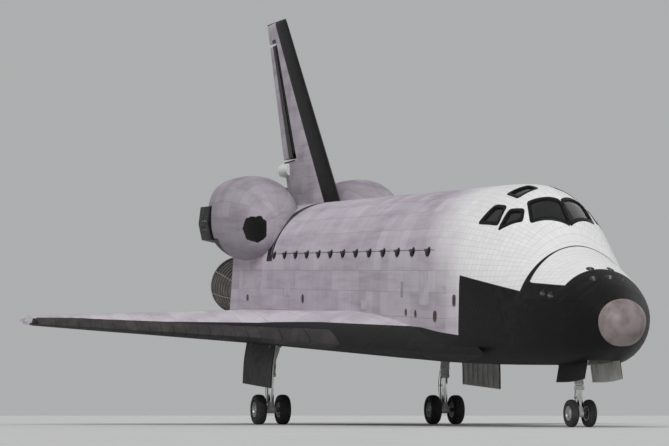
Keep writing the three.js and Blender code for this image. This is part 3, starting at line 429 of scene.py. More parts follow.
class Paint:
    def __init__(self, name, roughness=0.5, metallic=0.0, **shader):
        self.material = bpy.data.materials.new(name)
        self.material.use_nodes = True
        self.tree = self.material.node_tree
        self.tree.nodes.clear()
        out = self.node("OutputMaterial")
        self.shader = self.node("BsdfPrincipled")
        self.tree.links.new(self.shader.outputs[0], out.inputs["Surface"])
        self.set(Roughness=roughness, Metallic=metallic, **shader)
        coordinates = self.node("TexCoord")
        scale = 1 / INCH
        back = TURN.transposed() @ SHIFT
        place = (MID_STATION + back.x * scale, -back.y * scale, -back.z * scale)
        mapping = self.node("Mapping", {"Vector": coordinates.outputs["Object"], "Location": place,
                                        "Rotation": (0, PITCH, 0), "Scale": (-scale, scale, scale)})
        self.axes = mapping.outputs[0]
        self.station, self.side, self.height = self.split(self.axes)
        _, _, self.up = self.split(coordinates.outputs["Normal"])
        self.beam = self.math("ABSOLUTE", self.side)

    def node(self, kind, inputs=None, **settings):
        node = self.tree.nodes.new("ShaderNode" + kind)
        for key, value in settings.items():
            setattr(node, key, value)
        for key, value in (inputs or {}).items():
            self.feed(node.inputs[key], value)
        return node

    def feed(self, socket, value):
        if isinstance(value, bpy.types.NodeSocket):
            self.tree.links.new(value, socket)
        else:
            socket.default_value = value

    def set(self, **values):
        for key, value in values.items():
            self.feed(self.shader.inputs[key.replace("_", " ")], value)

    def split(self, vector):
        return self.node("SeparateXYZ", {0: vector}).outputs[:]

    def join(self, x=0.0, y=0.0, z=0.0):
        return self.node("CombineXYZ", {0: x, 1: y, 2: z}).outputs[0]

    def math(self, operation, *values, clamp=False):
        node = self.node("Math", operation=operation, use_clamp=clamp)
        for k, value in enumerate(values):
            self.feed(node.inputs[k], value)
        return node.outputs[0]

    def add(self, a, b):
        return self.math("ADD", a, b)

    def less(self, a, b):
        return self.math("SUBTRACT", a, b)

    def times(self, a, b):
        return self.math("MULTIPLY", a, b)

    def over(self, a, b):
        return self.math("DIVIDE", a, b)

    def ramp(self, value, low, high, start=0.0, stop=1.0):
        """value from low to high, read as start to stop and held outside."""
        return self.node("MapRange", {"Value": value, "From Min": low, "From Max": high, "To Min": start,
                                      "To Max": stop}).outputs[0]

    def line(self, value, points):
        """A broken line through points, read at value."""
        total = points[0][1]
        for (x0, y0), (x1, y1) in zip(points, points[1:]):
            if y1 != y0:
                total = self.add(total, self.ramp(value, x0, x1, 0.0, y1 - y0))
        return total

    def round_about(self, height, side, radius):
        """Inches of arc round an axis that runs fore and aft, port and starboard alike."""
        up = self.less(self.height, height)
        out = self.less(self.beam, side)
        return self.times(self.math("ARCTAN2", up, out), radius)

    def below(self, value, limit, soft=0.4):
        """1 where value is under limit, 0 where it is over."""
        return self.ramp(self.less(limit, value), -soft, soft)

    def between(self, low, value, high):
        """1 where value is over low and under high."""
        return self.both(self.below(low, value), self.below(value, high))

    def oval(self, along, up):
        """The square of the distance from a spot's middle, where along and up are 1 on its edge."""
        return self.add(self.math("POWER", along, 2.0), self.math("POWER", up, 2.0))

    def either(self, *masks):
        total = masks[0]
        for mask in masks[1:]:
            total = self.math("MAXIMUM", total, mask)
        return total

    def both(self, *masks):
        total = masks[0]
        for mask in masks[1:]:
            total = self.times(total, mask)
        return total

    def blend(self, share, a, b, mode="MIX"):
        node = self.node("Mix", data_type="RGBA", blend_type=mode)
        self.feed(node.inputs["Factor"], share)
        self.feed(node.inputs[6], a)
        self.feed(node.inputs[7], b)
        return node.outputs[2]

    def noise(self, size, detail=3.0, vector=None, rough=0.55):
        inputs = {"Vector": vector or self.axes, "Scale": 1 / size, "Detail": detail, "Roughness": rough}
        return self.node("TexNoise", inputs).outputs[0]

    def stretched(self, x=1.0, y=1.0, z=1.0):
        return self.node("Mapping", {"Vector": self.axes, "Scale": (x, y, z)}).outputs[0]

    def tiles(self, u, v, size, joint, tall=None):
        """Joints of a grid, 1 on a joint, and a random number for each tile."""
        rows = [self.over(value, step) for value, step in ((u, size), (v, tall or size))]
        cell = self.join(*[self.math("FLOOR", row) for row in rows])
        random = self.node("TexWhiteNoise", {"Vector": cell}, noise_dimensions="2D").outputs[0]
        edges = []
        for row, step in zip(rows, (size, tall or size)):
            off = self.math("ABSOLUTE", self.less(self.math("FRACT", row), 0.5))
            edges.append(self.ramp(off, 0.5 - joint / step, 0.5 - joint / step * 0.4))
        return self.either(*edges), random

    def bump(self, height, strength=0.4, distance=0.3):
        node = self.node("Bump", {"Height": height, "Strength": strength, "Distance": distance * INCH})
        self.feed(self.shader.inputs["Normal"], node.outputs[0])
        return node


def grey(value, tint=(1.0, 1.0, 1.0)):
    return (value * tint[0], value * tint[1], value * tint[2], 1.0)


LILAC = (0.985, 0.93, 1.0)
WHITE_TILE = grey(0.83, (1.0, 1.0, 0.995))
BLANKET = grey(0.58, (1.0, 0.91, 1.02))
BLANKET_DARK = grey(0.34, (1.02, 0.87, 1.02))
BLACK_TILE = grey(0.008, (1.0, 0.95, 0.98))
BLACK_WORN = grey(0.026, (1.1, 0.96, 0.94))
BLACK_TILE_SIZE = 6
WHITE_TILE_SIZE = 8
BLANKET_LONG = 30
BLANKET_TALL = 26
QUILT_SIZE = 3.0
# Half the width of the joints between black tiles, white tiles, blankets and rows of quilting
JOINTS = {"black": 0.35, "white": 0.28, "soft": 0.45, "quilt": 0.3}


def skin(name, black, softness, across, shade=1.0):
    """The thermal skin: black tiles where black(paint) is 1, and elsewhere white, from hard tiles to soft
    blankets as softness(paint) goes from 0 to 1. across(paint) measures across the station, and shade
    darkens the blankets."""
    p = Paint(name)
    across = across(p)
    slant_u, slant_v = p.add(p.station, across), p.less(p.station, across)
    dark = black(p)
    soft = softness(p)
    joint_black, random_black = p.tiles(slant_u, slant_v, BLACK_TILE_SIZE * math.sqrt(2), JOINTS["black"])
    joint_white, random_white = p.tiles(p.station, across, WHITE_TILE_SIZE, JOINTS["white"])
    joint_soft, random_soft = p.tiles(p.station, across, BLANKET_LONG, JOINTS["soft"], BLANKET_TALL)
    streak = p.noise(16, 5, p.stretched(0.12, 0.6, 1.0))
    blotch = p.noise(70, 4)
    fine = p.noise(3, 3)

    worn = p.both(p.ramp(random_black, 0.25, 1.0), p.ramp(blotch, 0.4, 0.72, 0.08, 0.75))
    black_colour = p.blend(worn, BLACK_TILE, BLACK_WORN)
    black_colour = p.blend(p.times(joint_black, 0.55), black_colour, grey(0.006))

    tone = p.add(p.ramp(random_white, 0.0, 1.0, 0.0, 0.16), p.ramp(blotch, 0.35, 0.75, 0.0, 0.25))
    white_colour = p.blend(tone, WHITE_TILE, grey(0.6, LILAC))
    white_colour = p.blend(p.times(joint_white, 0.4), white_colour, grey(0.3))

    patch = p.add(p.ramp(random_soft, 0.0, 1.0, 0.0, 0.35), p.ramp(streak, 0.45, 0.75, 0.0, 0.55))
    patch = p.math("ADD", patch, p.ramp(blotch, 0.45, 0.8, 0.0, 0.3), clamp=True)
    shades = [tuple(c * shade for c in colour[:3]) + (1.0,) for colour in (BLANKET, BLANKET_DARK)]
    soft_colour = p.blend(patch, *shades)
    soft_colour = p.blend(p.times(joint_soft, 0.45), soft_colour, grey(0.22))
    quilt, _ = p.tiles(p.station, across, QUILT_SIZE, JOINTS["quilt"])

    pale = p.blend(soft, white_colour, soft_colour)
    p.set(Base_Color=p.blend(dark, pale, black_colour))
    rough_pale = p.add(p.ramp(soft, 0.0, 1.0, 0.42, 0.88), p.ramp(fine, 0.3, 0.7, -0.04, 0.04))
    rough_dark = p.add(p.ramp(worn, 0.0, 1.0, 0.42, 0.62), p.ramp(fine, 0.3, 0.7, -0.05, 0.05))
    rough = p.node("Mix", {"Factor": dark, 2: rough_pale, 3: rough_dark}, data_type="FLOAT")
    p.set(Roughness=rough.outputs[0])
    grooves_pale = p.add(p.both(soft, p.times(quilt, 0.5)), p.both(soft, joint_soft))
    grooves_pale = p.add(grooves_pale, p.both(p.less(1.0, soft), joint_white))
    grooves = p.add(p.both(dark, joint_black), p.both(p.less(1.0, dark), grooves_pale))
    p.bump(p.less(p.times(fine, 0.35), grooves), 0.5, 0.22)
    p.set(Specular_IOR_Level=0.12)
    return p.material


def always(value):
    """A mask that is the same everywhere."""
    return lambda p: value


# Height, side and radius of the circles that the tiles of the body and of a pod are laid along
BODY_CIRCLE = (395, 0, 100)
POD_CIRCLE = (478, 90, 58)


def round_body(p):
    belly = p.below(p.up, -0.55, 0.05)
    return p.add(p.both(belly, p.side), p.both(p.less(1.0, belly), p.round_about(*BODY_CIRCLE)))


def round_pod(p):
    return p.round_about(*POD_CIRCLE)


def along_span(p):
    return p.beam


def up_fin(p):
    return p.height


# The edge between the black tiles and the white skin along the fuselage, as station and height
CHINE = [(310.9, 600), (311.1, 379.5), (364, 382), (377.9, 386), (378.1, 372), (503, 389.5), (503.2, 318),
         (560, 320.5), (620, 324.5), (960, 327), (1060, 312), (1250, 298), (1430, 298), (1490, 312),
         (1519, 316)]
# The strip of black tiles that runs over the roof between the bay doors and the pods
POD_STRIP = {"front": 1297, "back": 1326, "foot": 409}
HINGE_TILE = {"height": 418.5, "long": 6.8, "tall": 6}
HINGE_PITCH = HINGE_SPOTS[1] - HINGE_SPOTS[0]


def roof_black(p):
    """The strip ahead of the pods, and an oval black tile at each hinge."""
    strip = p.both(p.between(POD_STRIP["front"], p.station, POD_STRIP["back"]),
                   p.below(POD_STRIP["foot"], p.height))
    turns = p.over(p.less(p.station, HINGE_SPOTS[0]), HINGE_PITCH)
    off = p.less(p.math("FRACT", p.add(turns, 0.5)), 0.5)
    dot = p.below(p.oval(p.over(p.times(off, HINGE_PITCH), HINGE_TILE["long"]),
                         p.over(p.less(p.height, HINGE_TILE["height"]), HINGE_TILE["tall"])), 1.0, 0.1)
    doors = p.both(p.between(DOOR["front"], p.station, DOOR["back"]), p.below(99, p.beam))
    return p.either(strip, p.both(dot, doors))


# The black line behind the thruster module, which narrows on its way up
SEAM = {"at": 378.5, "foot": 360, "low": 382, "high": 420, "wide": 5.0, "thin": 0.9}


def fuselage_black(p):
    low = p.below(p.height, p.line(p.station, CHINE))
    near = p.ramp(p.height, SEAM["low"], SEAM["high"], SEAM["wide"], SEAM["thin"])
    seam = p.below(p.math("ABSOLUTE", p.less(p.station, p.less(SEAM["at"], near))), near)
    return p.either(low, p.both(seam, p.below(SEAM["foot"], p.height)), roof_black(p))


# Where hard tiles give way to blankets, in inches behind a line that leans aft on its way up. The lean is
# partly painted highlight: it keeps the upper fuselage in white tiles further aft, lighter where light falls
# from above.
SOFTER_AND_HIGHLIGHT = {"lean": 0.85, "start": 140, "end": 265, "ragged": 18}


def fuselage_soft(p):
    behind = p.less(p.station, p.times(p.height, SOFTER_AND_HIGHLIGHT["lean"]))
    ragged = p.ramp(p.noise(40, 3), 0.3, 0.7, -SOFTER_AND_HIGHLIGHT["ragged"], SOFTER_AND_HIGHLIGHT["ragged"])
    return p.ramp(p.add(behind, ragged), SOFTER_AND_HIGHLIGHT["start"], SOFTER_AND_HIGHLIGHT["end"])


def wing_lead(p):
    glove = p.add(WING["glove_nose"], p.times(p.less(p.beam, WING["glove_side"]), GLOVE_RUN))
    return p.math("MINIMUM", glove, p.add(p.beam, WING["lead"]))


# How far the black reaches back from the wing's leading edge: side and inches
WING_BLACK = [(100, 130), (150, 90), (188, 40), (300, 26), (468, 20)]


def wing_black(p):
    behind = p.less(p.station, wing_lead(p))
    return p.either(underside_black(p), p.below(behind, p.line(p.beam, WING_BLACK)))


def underside_black(p):
    return p.below(p.up, -0.03, 0.02)


FIN_FRONT = 48
# The band of black tiles behind the rudder's hinge, widened to 0.46 of the rudder's chord: the aft part of it
# is painted shade.
FIN_BAND_AND_SHADE = {"ahead": -6, "share": 0.46, "foot": 7}


def fin_black(p):
    over = p.less(p.height, FIN["root"])
    lead = p.add(FIN["lead"], over)
    trail = p.add(FIN["trail"], p.times(over, FIN["slope"]))
    hinge = p.add(p.times(lead, 1 - FIN["hinge"]), p.times(trail, FIN["hinge"]))
    front = p.below(p.less(p.station, lead), FIN_FRONT)
    behind = p.less(p.station, hinge)
    reach = p.times(p.less(trail, hinge), FIN_BAND_AND_SHADE["share"])
    foot = FIN["foot"] - FIN_BAND_AND_SHADE["foot"]
    band = p.between(FIN_BAND_AND_SHADE["ahead"], behind, reach)
    low = p.both(p.between(foot, p.height, FIN["foot"]), p.below(FIN_BAND_AND_SHADE["ahead"], behind))
    rudder = p.between(foot, p.height, FIN["cap"] + 4)
    return p.either(front, p.both(band, rudder), low, p.below(FIN["tip"] - 2, p.height))


# The black on a pod: a spot at its front, its rear end and a patch low on its outer side
POD_SPOT = {"at": 1336, "height": 459, "long": 25, "tall": 20, "side": 106}
POD_REAR = {"at": 1554, "top": 500.0, "lean": 0.1}
POD_PATCH = {"front": 1480, "top": 446, "side": 100}


def pod_black(p):
    spot = p.oval(p.over(p.less(p.station, POD_SPOT["at"]), POD_SPOT["long"]),
                  p.over(p.less(p.height, POD_SPOT["height"]), POD_SPOT["tall"]))
    spot = p.below(p.add(spot, p.ramp(p.noise(14, 3), 0.3, 0.7, -0.25, 0.25)), 1.0, 0.04)
    lean = p.times(p.less(POD_REAR["top"], p.height), POD_REAR["lean"])
    rear = p.below(p.less(POD_REAR["at"], lean), p.station)
    low = p.both(p.below(POD_PATCH["front"], p.station), p.below(p.height, POD_PATCH["top"]),
                 p.below(POD_PATCH["side"], p.beam))
    return p.either(p.both(spot, p.below(POD_SPOT["side"], p.beam)), rear, low)


def simple(name, colour, roughness, metallic=0.0, spots=None, size=4.0, depth=0.25, **shader):
    """A plain finish with cloudy wear in a second colour and a fine grain."""
    p = Paint(name, roughness, metallic, **shader)
    cloud = p.noise(size * 5, 5)
    grain = p.noise(size * 0.3, 3)
    spots = spots or tuple(c * 0.6 for c in colour[:3]) + (1.0,)
    p.set(Base_Color=p.blend(p.ramp(cloud, 0.42, 0.72), colour, spots))
    smooth, rough = max(roughness - 0.1, 0.02), min(roughness + 0.12, 1)
    p.set(Roughness=p.ramp(p.add(cloud, grain), 0.7, 1.3, smooth, rough))
    p.bump(grain, depth, 0.08)
    return p.material


def bell_metal():
    """Nozzle wall of brazed tubes, with bands of heat colour."""
    p = Paint("nozzle_tubes", 0.38, 0.85)
    cloud = p.noise(14, 4)
    band = p.noise(30, 3, p.stretched(0.6, 0.05, 0.05))
    warm = p.blend(p.ramp(band, 0.4, 0.65), grey(0.2, (1.0, 0.93, 0.86)), grey(0.34, (1.0, 0.9, 0.8)))
    p.set(Base_Color=p.blend(p.ramp(cloud, 0.45, 0.7), warm, grey(0.13, (1.0, 0.92, 0.9))))
    p.set(Roughness=p.ramp(cloud, 0.3, 0.7, 0.28, 0.5))
    p.bump(p.noise(1.2, 2), 0.2, 0.1)
    return p.material


def radiator_metal():
    p = Paint("radiator_silver", 0.2, 0.75)
    tubes = p.math("ABSOLUTE", p.less(p.math("FRACT", p.over(p.height, 3.0)), 0.5))
    joint, random = p.tiles(p.station, p.height, 60, 0.6, 300)
    tone = p.add(p.ramp(random, 0.0, 1.0, 0.0, 0.5), p.ramp(p.noise(40, 3), 0.4, 0.7, 0.0, 0.4))
    p.set(Base_Color=p.blend(tone, grey(0.72, (0.97, 0.99, 1.0)), grey(0.5, (0.97, 0.99, 1.0))))
    p.set(Roughness=p.ramp(p.noise(8, 4), 0.3, 0.7, 0.14, 0.3))
    p.bump(p.less(tubes, joint), 0.25, 0.15)
    return p.material


def glass():
    p = Paint("window_glass", 0.03, Transmission_Weight=0.85, IOR=1.5)
    smear = p.noise(6, 4)
    blue = (0.9, 0.95, 1.0)
    p.set(Base_Color=p.blend(p.ramp(smear, 0.4, 0.7), grey(0.055, blue), grey(0.09, blue)))
    p.set(Roughness=p.ramp(smear, 0.3, 0.8, 0.02, 0.09))
    return p.material


def liner_cloth():
    p = Paint("bay_liner", 0.9)
    joint, random = p.tiles(p.station, p.side, 24, 0.4, 20)
    fold = p.noise(9, 4)
    pale, dull = grey(0.72, (1.0, 0.99, 0.96)), grey(0.58, (1.0, 0.98, 0.94))
    p.set(Base_Color=p.blend(p.ramp(random, 0, 1, 0, 0.35), pale, dull))
    p.bump(p.less(fold, p.times(joint, 0.8)), 0.5, 0.8)
    return p.material


def rubber():
    p = Paint("tyre_rubber", 0.8)
    dust = p.noise(5, 4)
    p.set(Base_Color=p.blend(p.ramp(dust, 0.4, 0.75), grey(0.018), grey(0.055, (1.0, 0.97, 0.93))))
    p.set(Roughness=p.ramp(dust, 0.3, 0.7, 0.68, 0.9))
    p.bump(p.noise(0.5, 2), 0.2, 0.05)
    return p.material


DOOR_SEAMS = [mix(DOOR["front"], DOOR["back"], k / 5) for k in range(1, 5)]
SKIN_FUSELAGE = skin("fuselage_skin", fuselage_black, fuselage_soft, round_body)
SKIN_DOOR = skin("bay_door_skin", roof_black, fuselage_soft, round_body)
SKIN_WING = skin("wing_skin", wing_black, always(0.85), along_span)
SKIN_FLAP = skin("control_surface_skin", underside_black, always(0.85), along_span)
SKIN_FIN = skin("fin_skin", fin_black, always(1.0), up_fin, 0.85)
SKIN_POD = skin("pod_skin", pod_black, always(1.0), round_pod, 0.7)
SKIN_BLACK = skin("black_tile", always(1.0), always(0.0), round_body)
SKIN_GEAR_DOOR = skin("gear_door_tile", always(1.0), always(0.0), up_fin)
SKIN_WHITE = skin("white_tile", always(0.0), always(0.0), round_body)
# The carbon of the wing's leading edge is painted near black, far darker than its real light grey: painted
# shade of panels that face down.
SHADED_CARBON = simple("carbon_painted_shade", grey(0.03, (1.06, 0.98, 0.98)), 0.6, spots=grey(0.058, (1.1, 0.97, 0.95)),
                size=5, Specular_IOR_Level=0.25)
NOSE_CARBON = simple("nose_carbon", grey(0.23, (1.12, 0.92, 0.93)), 0.5, spots=grey(0.1, (1.2, 0.9, 0.88)))
BELL = bell_metal()
STEEL = simple("bare_steel", grey(0.42), 0.32, 0.9, size=3)
DARK_METAL = simple("dark_metal", grey(0.08), 0.45, 0.7, size=3)
GEAR_WHITE = simple("gear_paint", grey(0.68, (1.0, 1.0, 0.98)), 0.35, spots=grey(0.5), size=3)
CHROME = simple("chrome", grey(0.78), 0.1, 1.0, size=3, depth=0.05)
CABIN_GREY = simple("cabin_paint", grey(0.36, (0.95, 1.0, 1.03)), 0.6, size=5)
PRIMER = simple("well_paint", grey(0.5, (1.0, 1.0, 0.95)), 0.5, spots=grey(0.32, (1.0, 0.98, 0.9)), size=6)
SEAT_CLOTH = simple("seat_cloth", grey(0.05, (0.8, 0.9, 1.3)), 0.85, size=1.5, depth=0.5)
RADIATOR_METAL = radiator_metal()
GLASS = glass()
LINER = liner_cloth()
RUBBER = rubber()
WELL_PAINT = simple("frame_paint", grey(0.58, (1.0, 1.0, 0.95)), 0.45, spots=grey(0.4, (1.0, 0.98, 0.9)))
RIM_METAL = simple("rim_metal", grey(0.5), 0.35, 0.6, spots=grey(0.3), size=2)
DARK_VENT = simple("vent_screen", grey(0.03, (1.5, 0.9, 0.9)), 0.7, spots=grey(0.07, (1.6, 0.9, 0.85)),
                   size=2)
PANEL_SKIN = simple("panel_skin", grey(0.52, (1.0, 0.93, 1.02)), 0.8, spots=grey(0.42, (1.0, 0.9, 1.0)))
PANEL_WORN = simple("worn_panel", grey(0.26, (1.05, 0.92, 1.0)), 0.7, spots=grey(0.4, (1.0, 0.93, 1.0)),
                    size=3)
PANEL_METAL = simple("flipper_metal", grey(0.42, (1.0, 0.97, 0.98)), 0.45, 0.3, spots=grey(0.3), size=5)
LAMP = simple("cabin_lamp", grey(0.8), 0.4, size=2, Emission_Color=grey(1.0, (1.0, 0.95, 0.88)),
              Emission_Strength=2.5)
SKIN_BELLY = skin("belly_door_tile", always(1.0), always(0.0), along_span)
SCREEN = simple("screen_glass", grey(0.01, (0.9, 1.0, 1.2)), 0.12, spots=grey(0.02), size=3, depth=0.02)


# Fuselage

def face_finish(name, station, paint):
    """Paints the flat end faces of a shell: those at a station, or with no station the slanted rear ones."""
    obj = bpy.data.objects[name]
    obj.data.materials.append(paint)
    aft = Vector(to_frame([TAIL_END, 0, WAIST]) - to_frame([MID_STATION, 0, WAIST])).normalized()
    start = Vector(to_frame([station or TAIL_END, 0, WAIST]))
    for face in obj.data.polygons:
        if obj.data.materials[face.material_index] != SKIN_FUSELAGE:
            continue
        along = face.normal @ aft
        if station:
            flat = abs(along) > 0.99 and abs((face.center - start) @ aft) < 0.01
        else:
            flat = along > 0.8
        if flat:
            face.material_index = len(obj.data.materials) - 1


def stations(start, stop, *steps):
    """Stations from start to stop; steps are pairs of a limit and the step up to it."""
    found, at = [], start
    for limit, step in steps:
        end = min(limit, stop)
        while at < end - 1e-6:
            found.append(at)
            at = min(at + step, end)
    return found + [stop]


def fuselage(start, stop, inset=0.0):
    rows = stations(start, stop, (260, 1.2), (330, 3), (582, 4), (700, 12), (1307, 60), (1519, 14))
    return loft([fuselage_ring(s, inset) for s in rows])


def nose():
    tip, long = NOSE_TIP + 0.02, NOSE_CAP_END - NOSE_TIP
    rows = [tip, *[tip + long * (k / 20) ** 2 for k in range(1, 20)], NOSE_CAP_END - 0.1]
    piece("nose_cap_shell", [(loft([fuselage_ring(s) for s in rows]), NOSE_CARBON)], "airframe",
          ["nose_cap"], "carbon", smooth=50)


def toward(start, end, reach):
    return start + (end - start) / np.linalg.norm(end - start) * reach


def window_outline(corners, grow=0.0, radius=3.0, steps=8):
    """A window's outline as stations and angles, moved outward by grow inches, with round corners."""
    flat = [np.array([s, a * DEGREE]) for s, a in corners]
    edges = list(zip(flat, flat[1:] + flat[:1]))
    turn = math.copysign(1, sum(p[0] * q[1] - q[0] * p[1] for p, q in edges))
    lines = []
    for p, q in edges:
        along = (q - p) / np.linalg.norm(q - p)
        lines.append((p + turn * grow * np.array([along[1], -along[0]]), along))
    found = []
    for (p, d), (q, e) in zip(lines[-1:] + lines[:-1], lines):
        share = np.linalg.solve(np.array([d, -e]).T, q - p)[0]
        found.append(p + d * share)
    outline = []
    for k, corner in enumerate(found):
        before, after = found[k - 1], found[(k + 1) % len(found)]
        reach = [min(radius, np.linalg.norm(other - corner) * 0.4) for other in (before, after)]
        first, last = toward(corner, before, reach[0]), toward(corner, after, reach[1])
        for share in np.linspace(0, 1, 5):
            outline.append(mix(mix(first, corner, share), mix(corner, last, share), share))
        end = toward(after, corner, reach[1])
        outline += [mix(last, end, share) for share in np.linspace(0, 1, steps)[1:-1]]
    return [(s, min(a / DEGREE, MOST_ANGLE)) for s, a in outline]


def on_skin(outline, lift, side=1):
    return [[s, side * y, z] for s, y, z in (roof_point(s, a, -lift) for s, a in outline)]


def window_hole(corners, side):
    outline = window_outline(corners)
    return loft([on_skin(outline, -9, side), on_skin(outline, 4, side)])


def window_band(corners, side, wide=3.6):
    """The black tiles round a window, a little proud of the skin."""
    rows = ((-0.1, 3, -1.2), (-0.1, 3, 0.45), (wide, 5, 0.45), (wide, 5, -1.2))
    return hoop([on_skin(window_outline(corners, grow, radius), lift, side) for grow, radius, lift in rows])


def window_pane(corners, side, inset=2.0):
    """Glass that follows the skin, a little larger than the opening."""
    middle = np.mean(corners, axis=0)
    a, b, c, d = [mix(middle, np.array(corner), 1.06) for corner in corners]
    shares = np.linspace(0, 1, 8)
    rows = []
    for u in shares:
        line = [mix(mix(a, b, u), mix(d, c, u), v) for v in shares]
        rows.append(on_skin([(s, min(turn, MOST_ANGLE)) for s, turn in line], -inset, side))
    return loft(rows, closed=False, caps=False)


def cabin_room():
    """The hollow of the cabin, inside its walls and over its floor."""
    rings = []
    for station in (CABIN["front"], *range(392, 566, 8), CABIN["back"]):
        ring = fuselage_ring(station, WALL)
        rings.append([[s, side, max(height, CABIN["floor"])] for s, side, height in ring])
    return loft(rings)


def hatch_plug(radius):
    """A round plug through the side of the cabin at the hatch."""
    return bar((HATCH["at"], 60, HATCH["height"]), (HATCH["at"], 130, HATCH["height"]), radius, 64)


def forward_body():
    solid = fuselage(NOSE_CAP_END + 0.1, CABIN_END - 0.1)
    shell = [(solid, SKIN_FUSELAGE)]
    room = (cabin_room(), CABIN_GREY)
    windows = [(corners, side) for corners in WINDOWS.values() for side in (1, -1)]
    well = box((NOSE_WELL["front"], -NOSE_WELL["half"], 250),
               (NOSE_WELL["back"], NOSE_WELL["half"], NOSE_WELL["roof"]))
    module = box((MODULE["front"], -90, MODULE["floor"]), (MODULE["back"] - 0.03, 90, 460))
    fitting = box(*ATTACH_ROOM)
    piece("forward_shell", shell, "airframe", ["forward_fuselage"], "white_tile",
          cuts=[room, *[(window_hole(*window), SKIN_BLACK) for window in windows], (well, PRIMER),
                (hatch_plug(HATCH["radius"] + HATCH["gap"]), STEEL), (module, DARK_METAL),
                (fitting, DARK_METAL)])
    face_finish("forward_shell", CABIN_END - 0.1, LINER)
    inner = box((MODULE["front"] + 0.25, -90, MODULE["floor"] + 0.25), (MODULE["back"] - 0.25, 90, 460))
    profile = [(-6.5, 0), (-6.5, 2.2), (-1, 4.2), (0, PORT_RADIUS), (3, PORT_RADIUS + 1.4), (3, 0)]
    ports = []
    for at, angle, side in PORTS:
        start, out = [np.array(roof_point(at, angle, inset)) * (1, side, 1) for inset in (0, -3)]
        outward = (out - start) / np.linalg.norm(out - start)
        ports.append((lathe(profile, start, outward, 32), DARK_METAL))
    piece("thruster_module_shell", shell, "airframe", ["forward_thruster_module"], "white_tile",
          keep=[(inner, DARK_METAL)], cuts=ports)
    pane = lathe([(0, 0), (0, 5.4), (20, 5.4), (20, 0)], (HATCH["at"], 92, HATCH["height"] + 3), TO_PORT, 32)
    piece("hatch_shell", [(solid, SKIN_WHITE)], "hatch", ["side_hatch"], "white_tile",
          keep=[(hatch_plug(HATCH["radius"]), STEEL)], cuts=[room, (pane, SKIN_BLACK)])
    piece("window_surrounds", [(window_band(*window), SKIN_BLACK) for window in windows], "airframe",
          slot="black_tile", smooth=50)
    piece("outer_panes", [(window_pane(*window), GLASS) for window in windows], "airframe",
          slot="window_glass", smooth=60)


def arc(radius, turns, height=0.0):
    """Points of side and height on a circle about the bay's axis or another height."""
    return [[radius * math.cos(t), height + radius * math.sin(t)] for t in turns]


def mid_ring(station):
    """Belly, sides up to the sill and the round trough of the bay."""
    s = section(station)
    top = SILL - 0.2
    high = s["roof"] - s["waist"]
    port = flank(s, s["half"], s["floor"])
    for turn in np.linspace(0, math.asin((top - s["waist"]) / high), 5):
        port.append([s["half"] * math.cos(turn), s["waist"] + high * math.sin(turn)])
    rim = math.asin((top - WAIST) / BAY_RADIUS)
    port += arc(BAY_RADIUS, np.linspace(rim, -math.pi / 2, 33), WAIST)
    return [[station, y, z] for y, z in both_sides(port)]


BAY_FRAMES = 13


def hinge_tile(at):
    """The raised black tile below a hinge: an oval, cut flat under the bay's door."""
    rings = []
    for share, lift in ((1, -0.3), (1, 0.25), (0.94, 0.4)):
        ring = []
        for turn in np.linspace(0, 2 * math.pi, 32, endpoint=False):
            along = at + share * HINGE_TILE["long"] * math.cos(turn)
            up = HINGE_TILE["height"] + share * HINGE_TILE["tall"] * math.sin(turn)
            ring.append([along, BODY_HALF + lift, min(up, SILL - 0.4)])
        rings.append(ring)
    return loft(rings)


def mid_body():
    rows = stations(CABIN_END + 0.1, BAY_END - 0.1, (700, 12), (1307, 40))
    obj = piece("mid_shell", [(loft([mid_ring(s) for s in rows]), SKIN_FUSELAGE)], "airframe",
                ["mid_fuselage"], "white_skin")
    obj.data.materials.append(LINER)
    obj.data.materials.append(GEAR_WHITE)
    up = Vector(to_frame([MID_STATION, 0, 1]) - to_frame([MID_STATION, 0, 0])).normalized()
    sill = Vector(to_frame([MID_STATION, 0, SILL - 1]))
    axis = [to_frame([s, 0, WAIST]) for s in (CABIN_END, BAY_END)]
    along = (axis[1] - axis[0]) / np.linalg.norm(axis[1] - axis[0])
    for face in obj.data.polygons:
        arm = np.array(face.center) - axis[0]
        away = np.linalg.norm(arm - along * (arm @ along))
        if away < (BAY_RADIUS + 0.3) * INCH and abs(face.normal @ Vector(along)) < 0.5:
            face.material_index = 1
        elif face.normal @ up > 0.9 and (face.center - sill) @ up > 0:
            face.material_index = 2
    ribs = []
    turns = np.linspace(math.radians(8), math.radians(-188), 49)
    outer, inner = BAY_RADIUS + 0.2, BAY_RADIUS - 2.6
    for at in np.linspace(DOOR["front"] + 12, DOOR["back"] - 12, BAY_FRAMES):
        rings = [[[at + shift, y, z] for y, z in arc(radius, turns, WAIST)]
                 for radius, shift in ((outer, -1.6), (inner, -1.6), (inner, 1.6), (outer, 1.6))]
        ribs.append((loft([list(column) for column in zip(*rings)]), GEAR_WHITE))
    for side in (1, -1):
        edge = sorted([side * 87.2, side * 91.6])
        ribs.append((box((DOOR["front"] + 2, edge[0], SILL - 6), (DOOR["back"] - 2, edge[1], SILL - 0.6)),
                     GEAR_WHITE))
        tray = sorted([side * 78, side * 84])
        ribs.append((box((DOOR["front"] + 12, tray[0], WAIST - 40), (DOOR["back"] - 12, tray[1], WAIST - 35)),
                     STEEL))
    piece("bay_frames", ribs, "airframe", slot="cabin_interior", smooth=40)
    pair("hinge_tiles", [(hinge_tile(at), SKIN_BLACK) for at in HINGE_SPOTS], "airframe", slot="black_tile")


# On the bay's forward wall: the airlock's hatch and the windows that look aft from the flight deck
AIRLOCK_HEIGHT = 378
AFT_WINDOW = {"side": 14, "height": 470, "wide": 17, "tall": 15}


def wall_slab(station, out, low, high, deep):
    """A bar on a wall of the bay, from just inside the wall to deep inches out of it."""
    front, back = sorted([station - out * 0.3, station + out * deep])
    return box((front, *low), (back, *high))


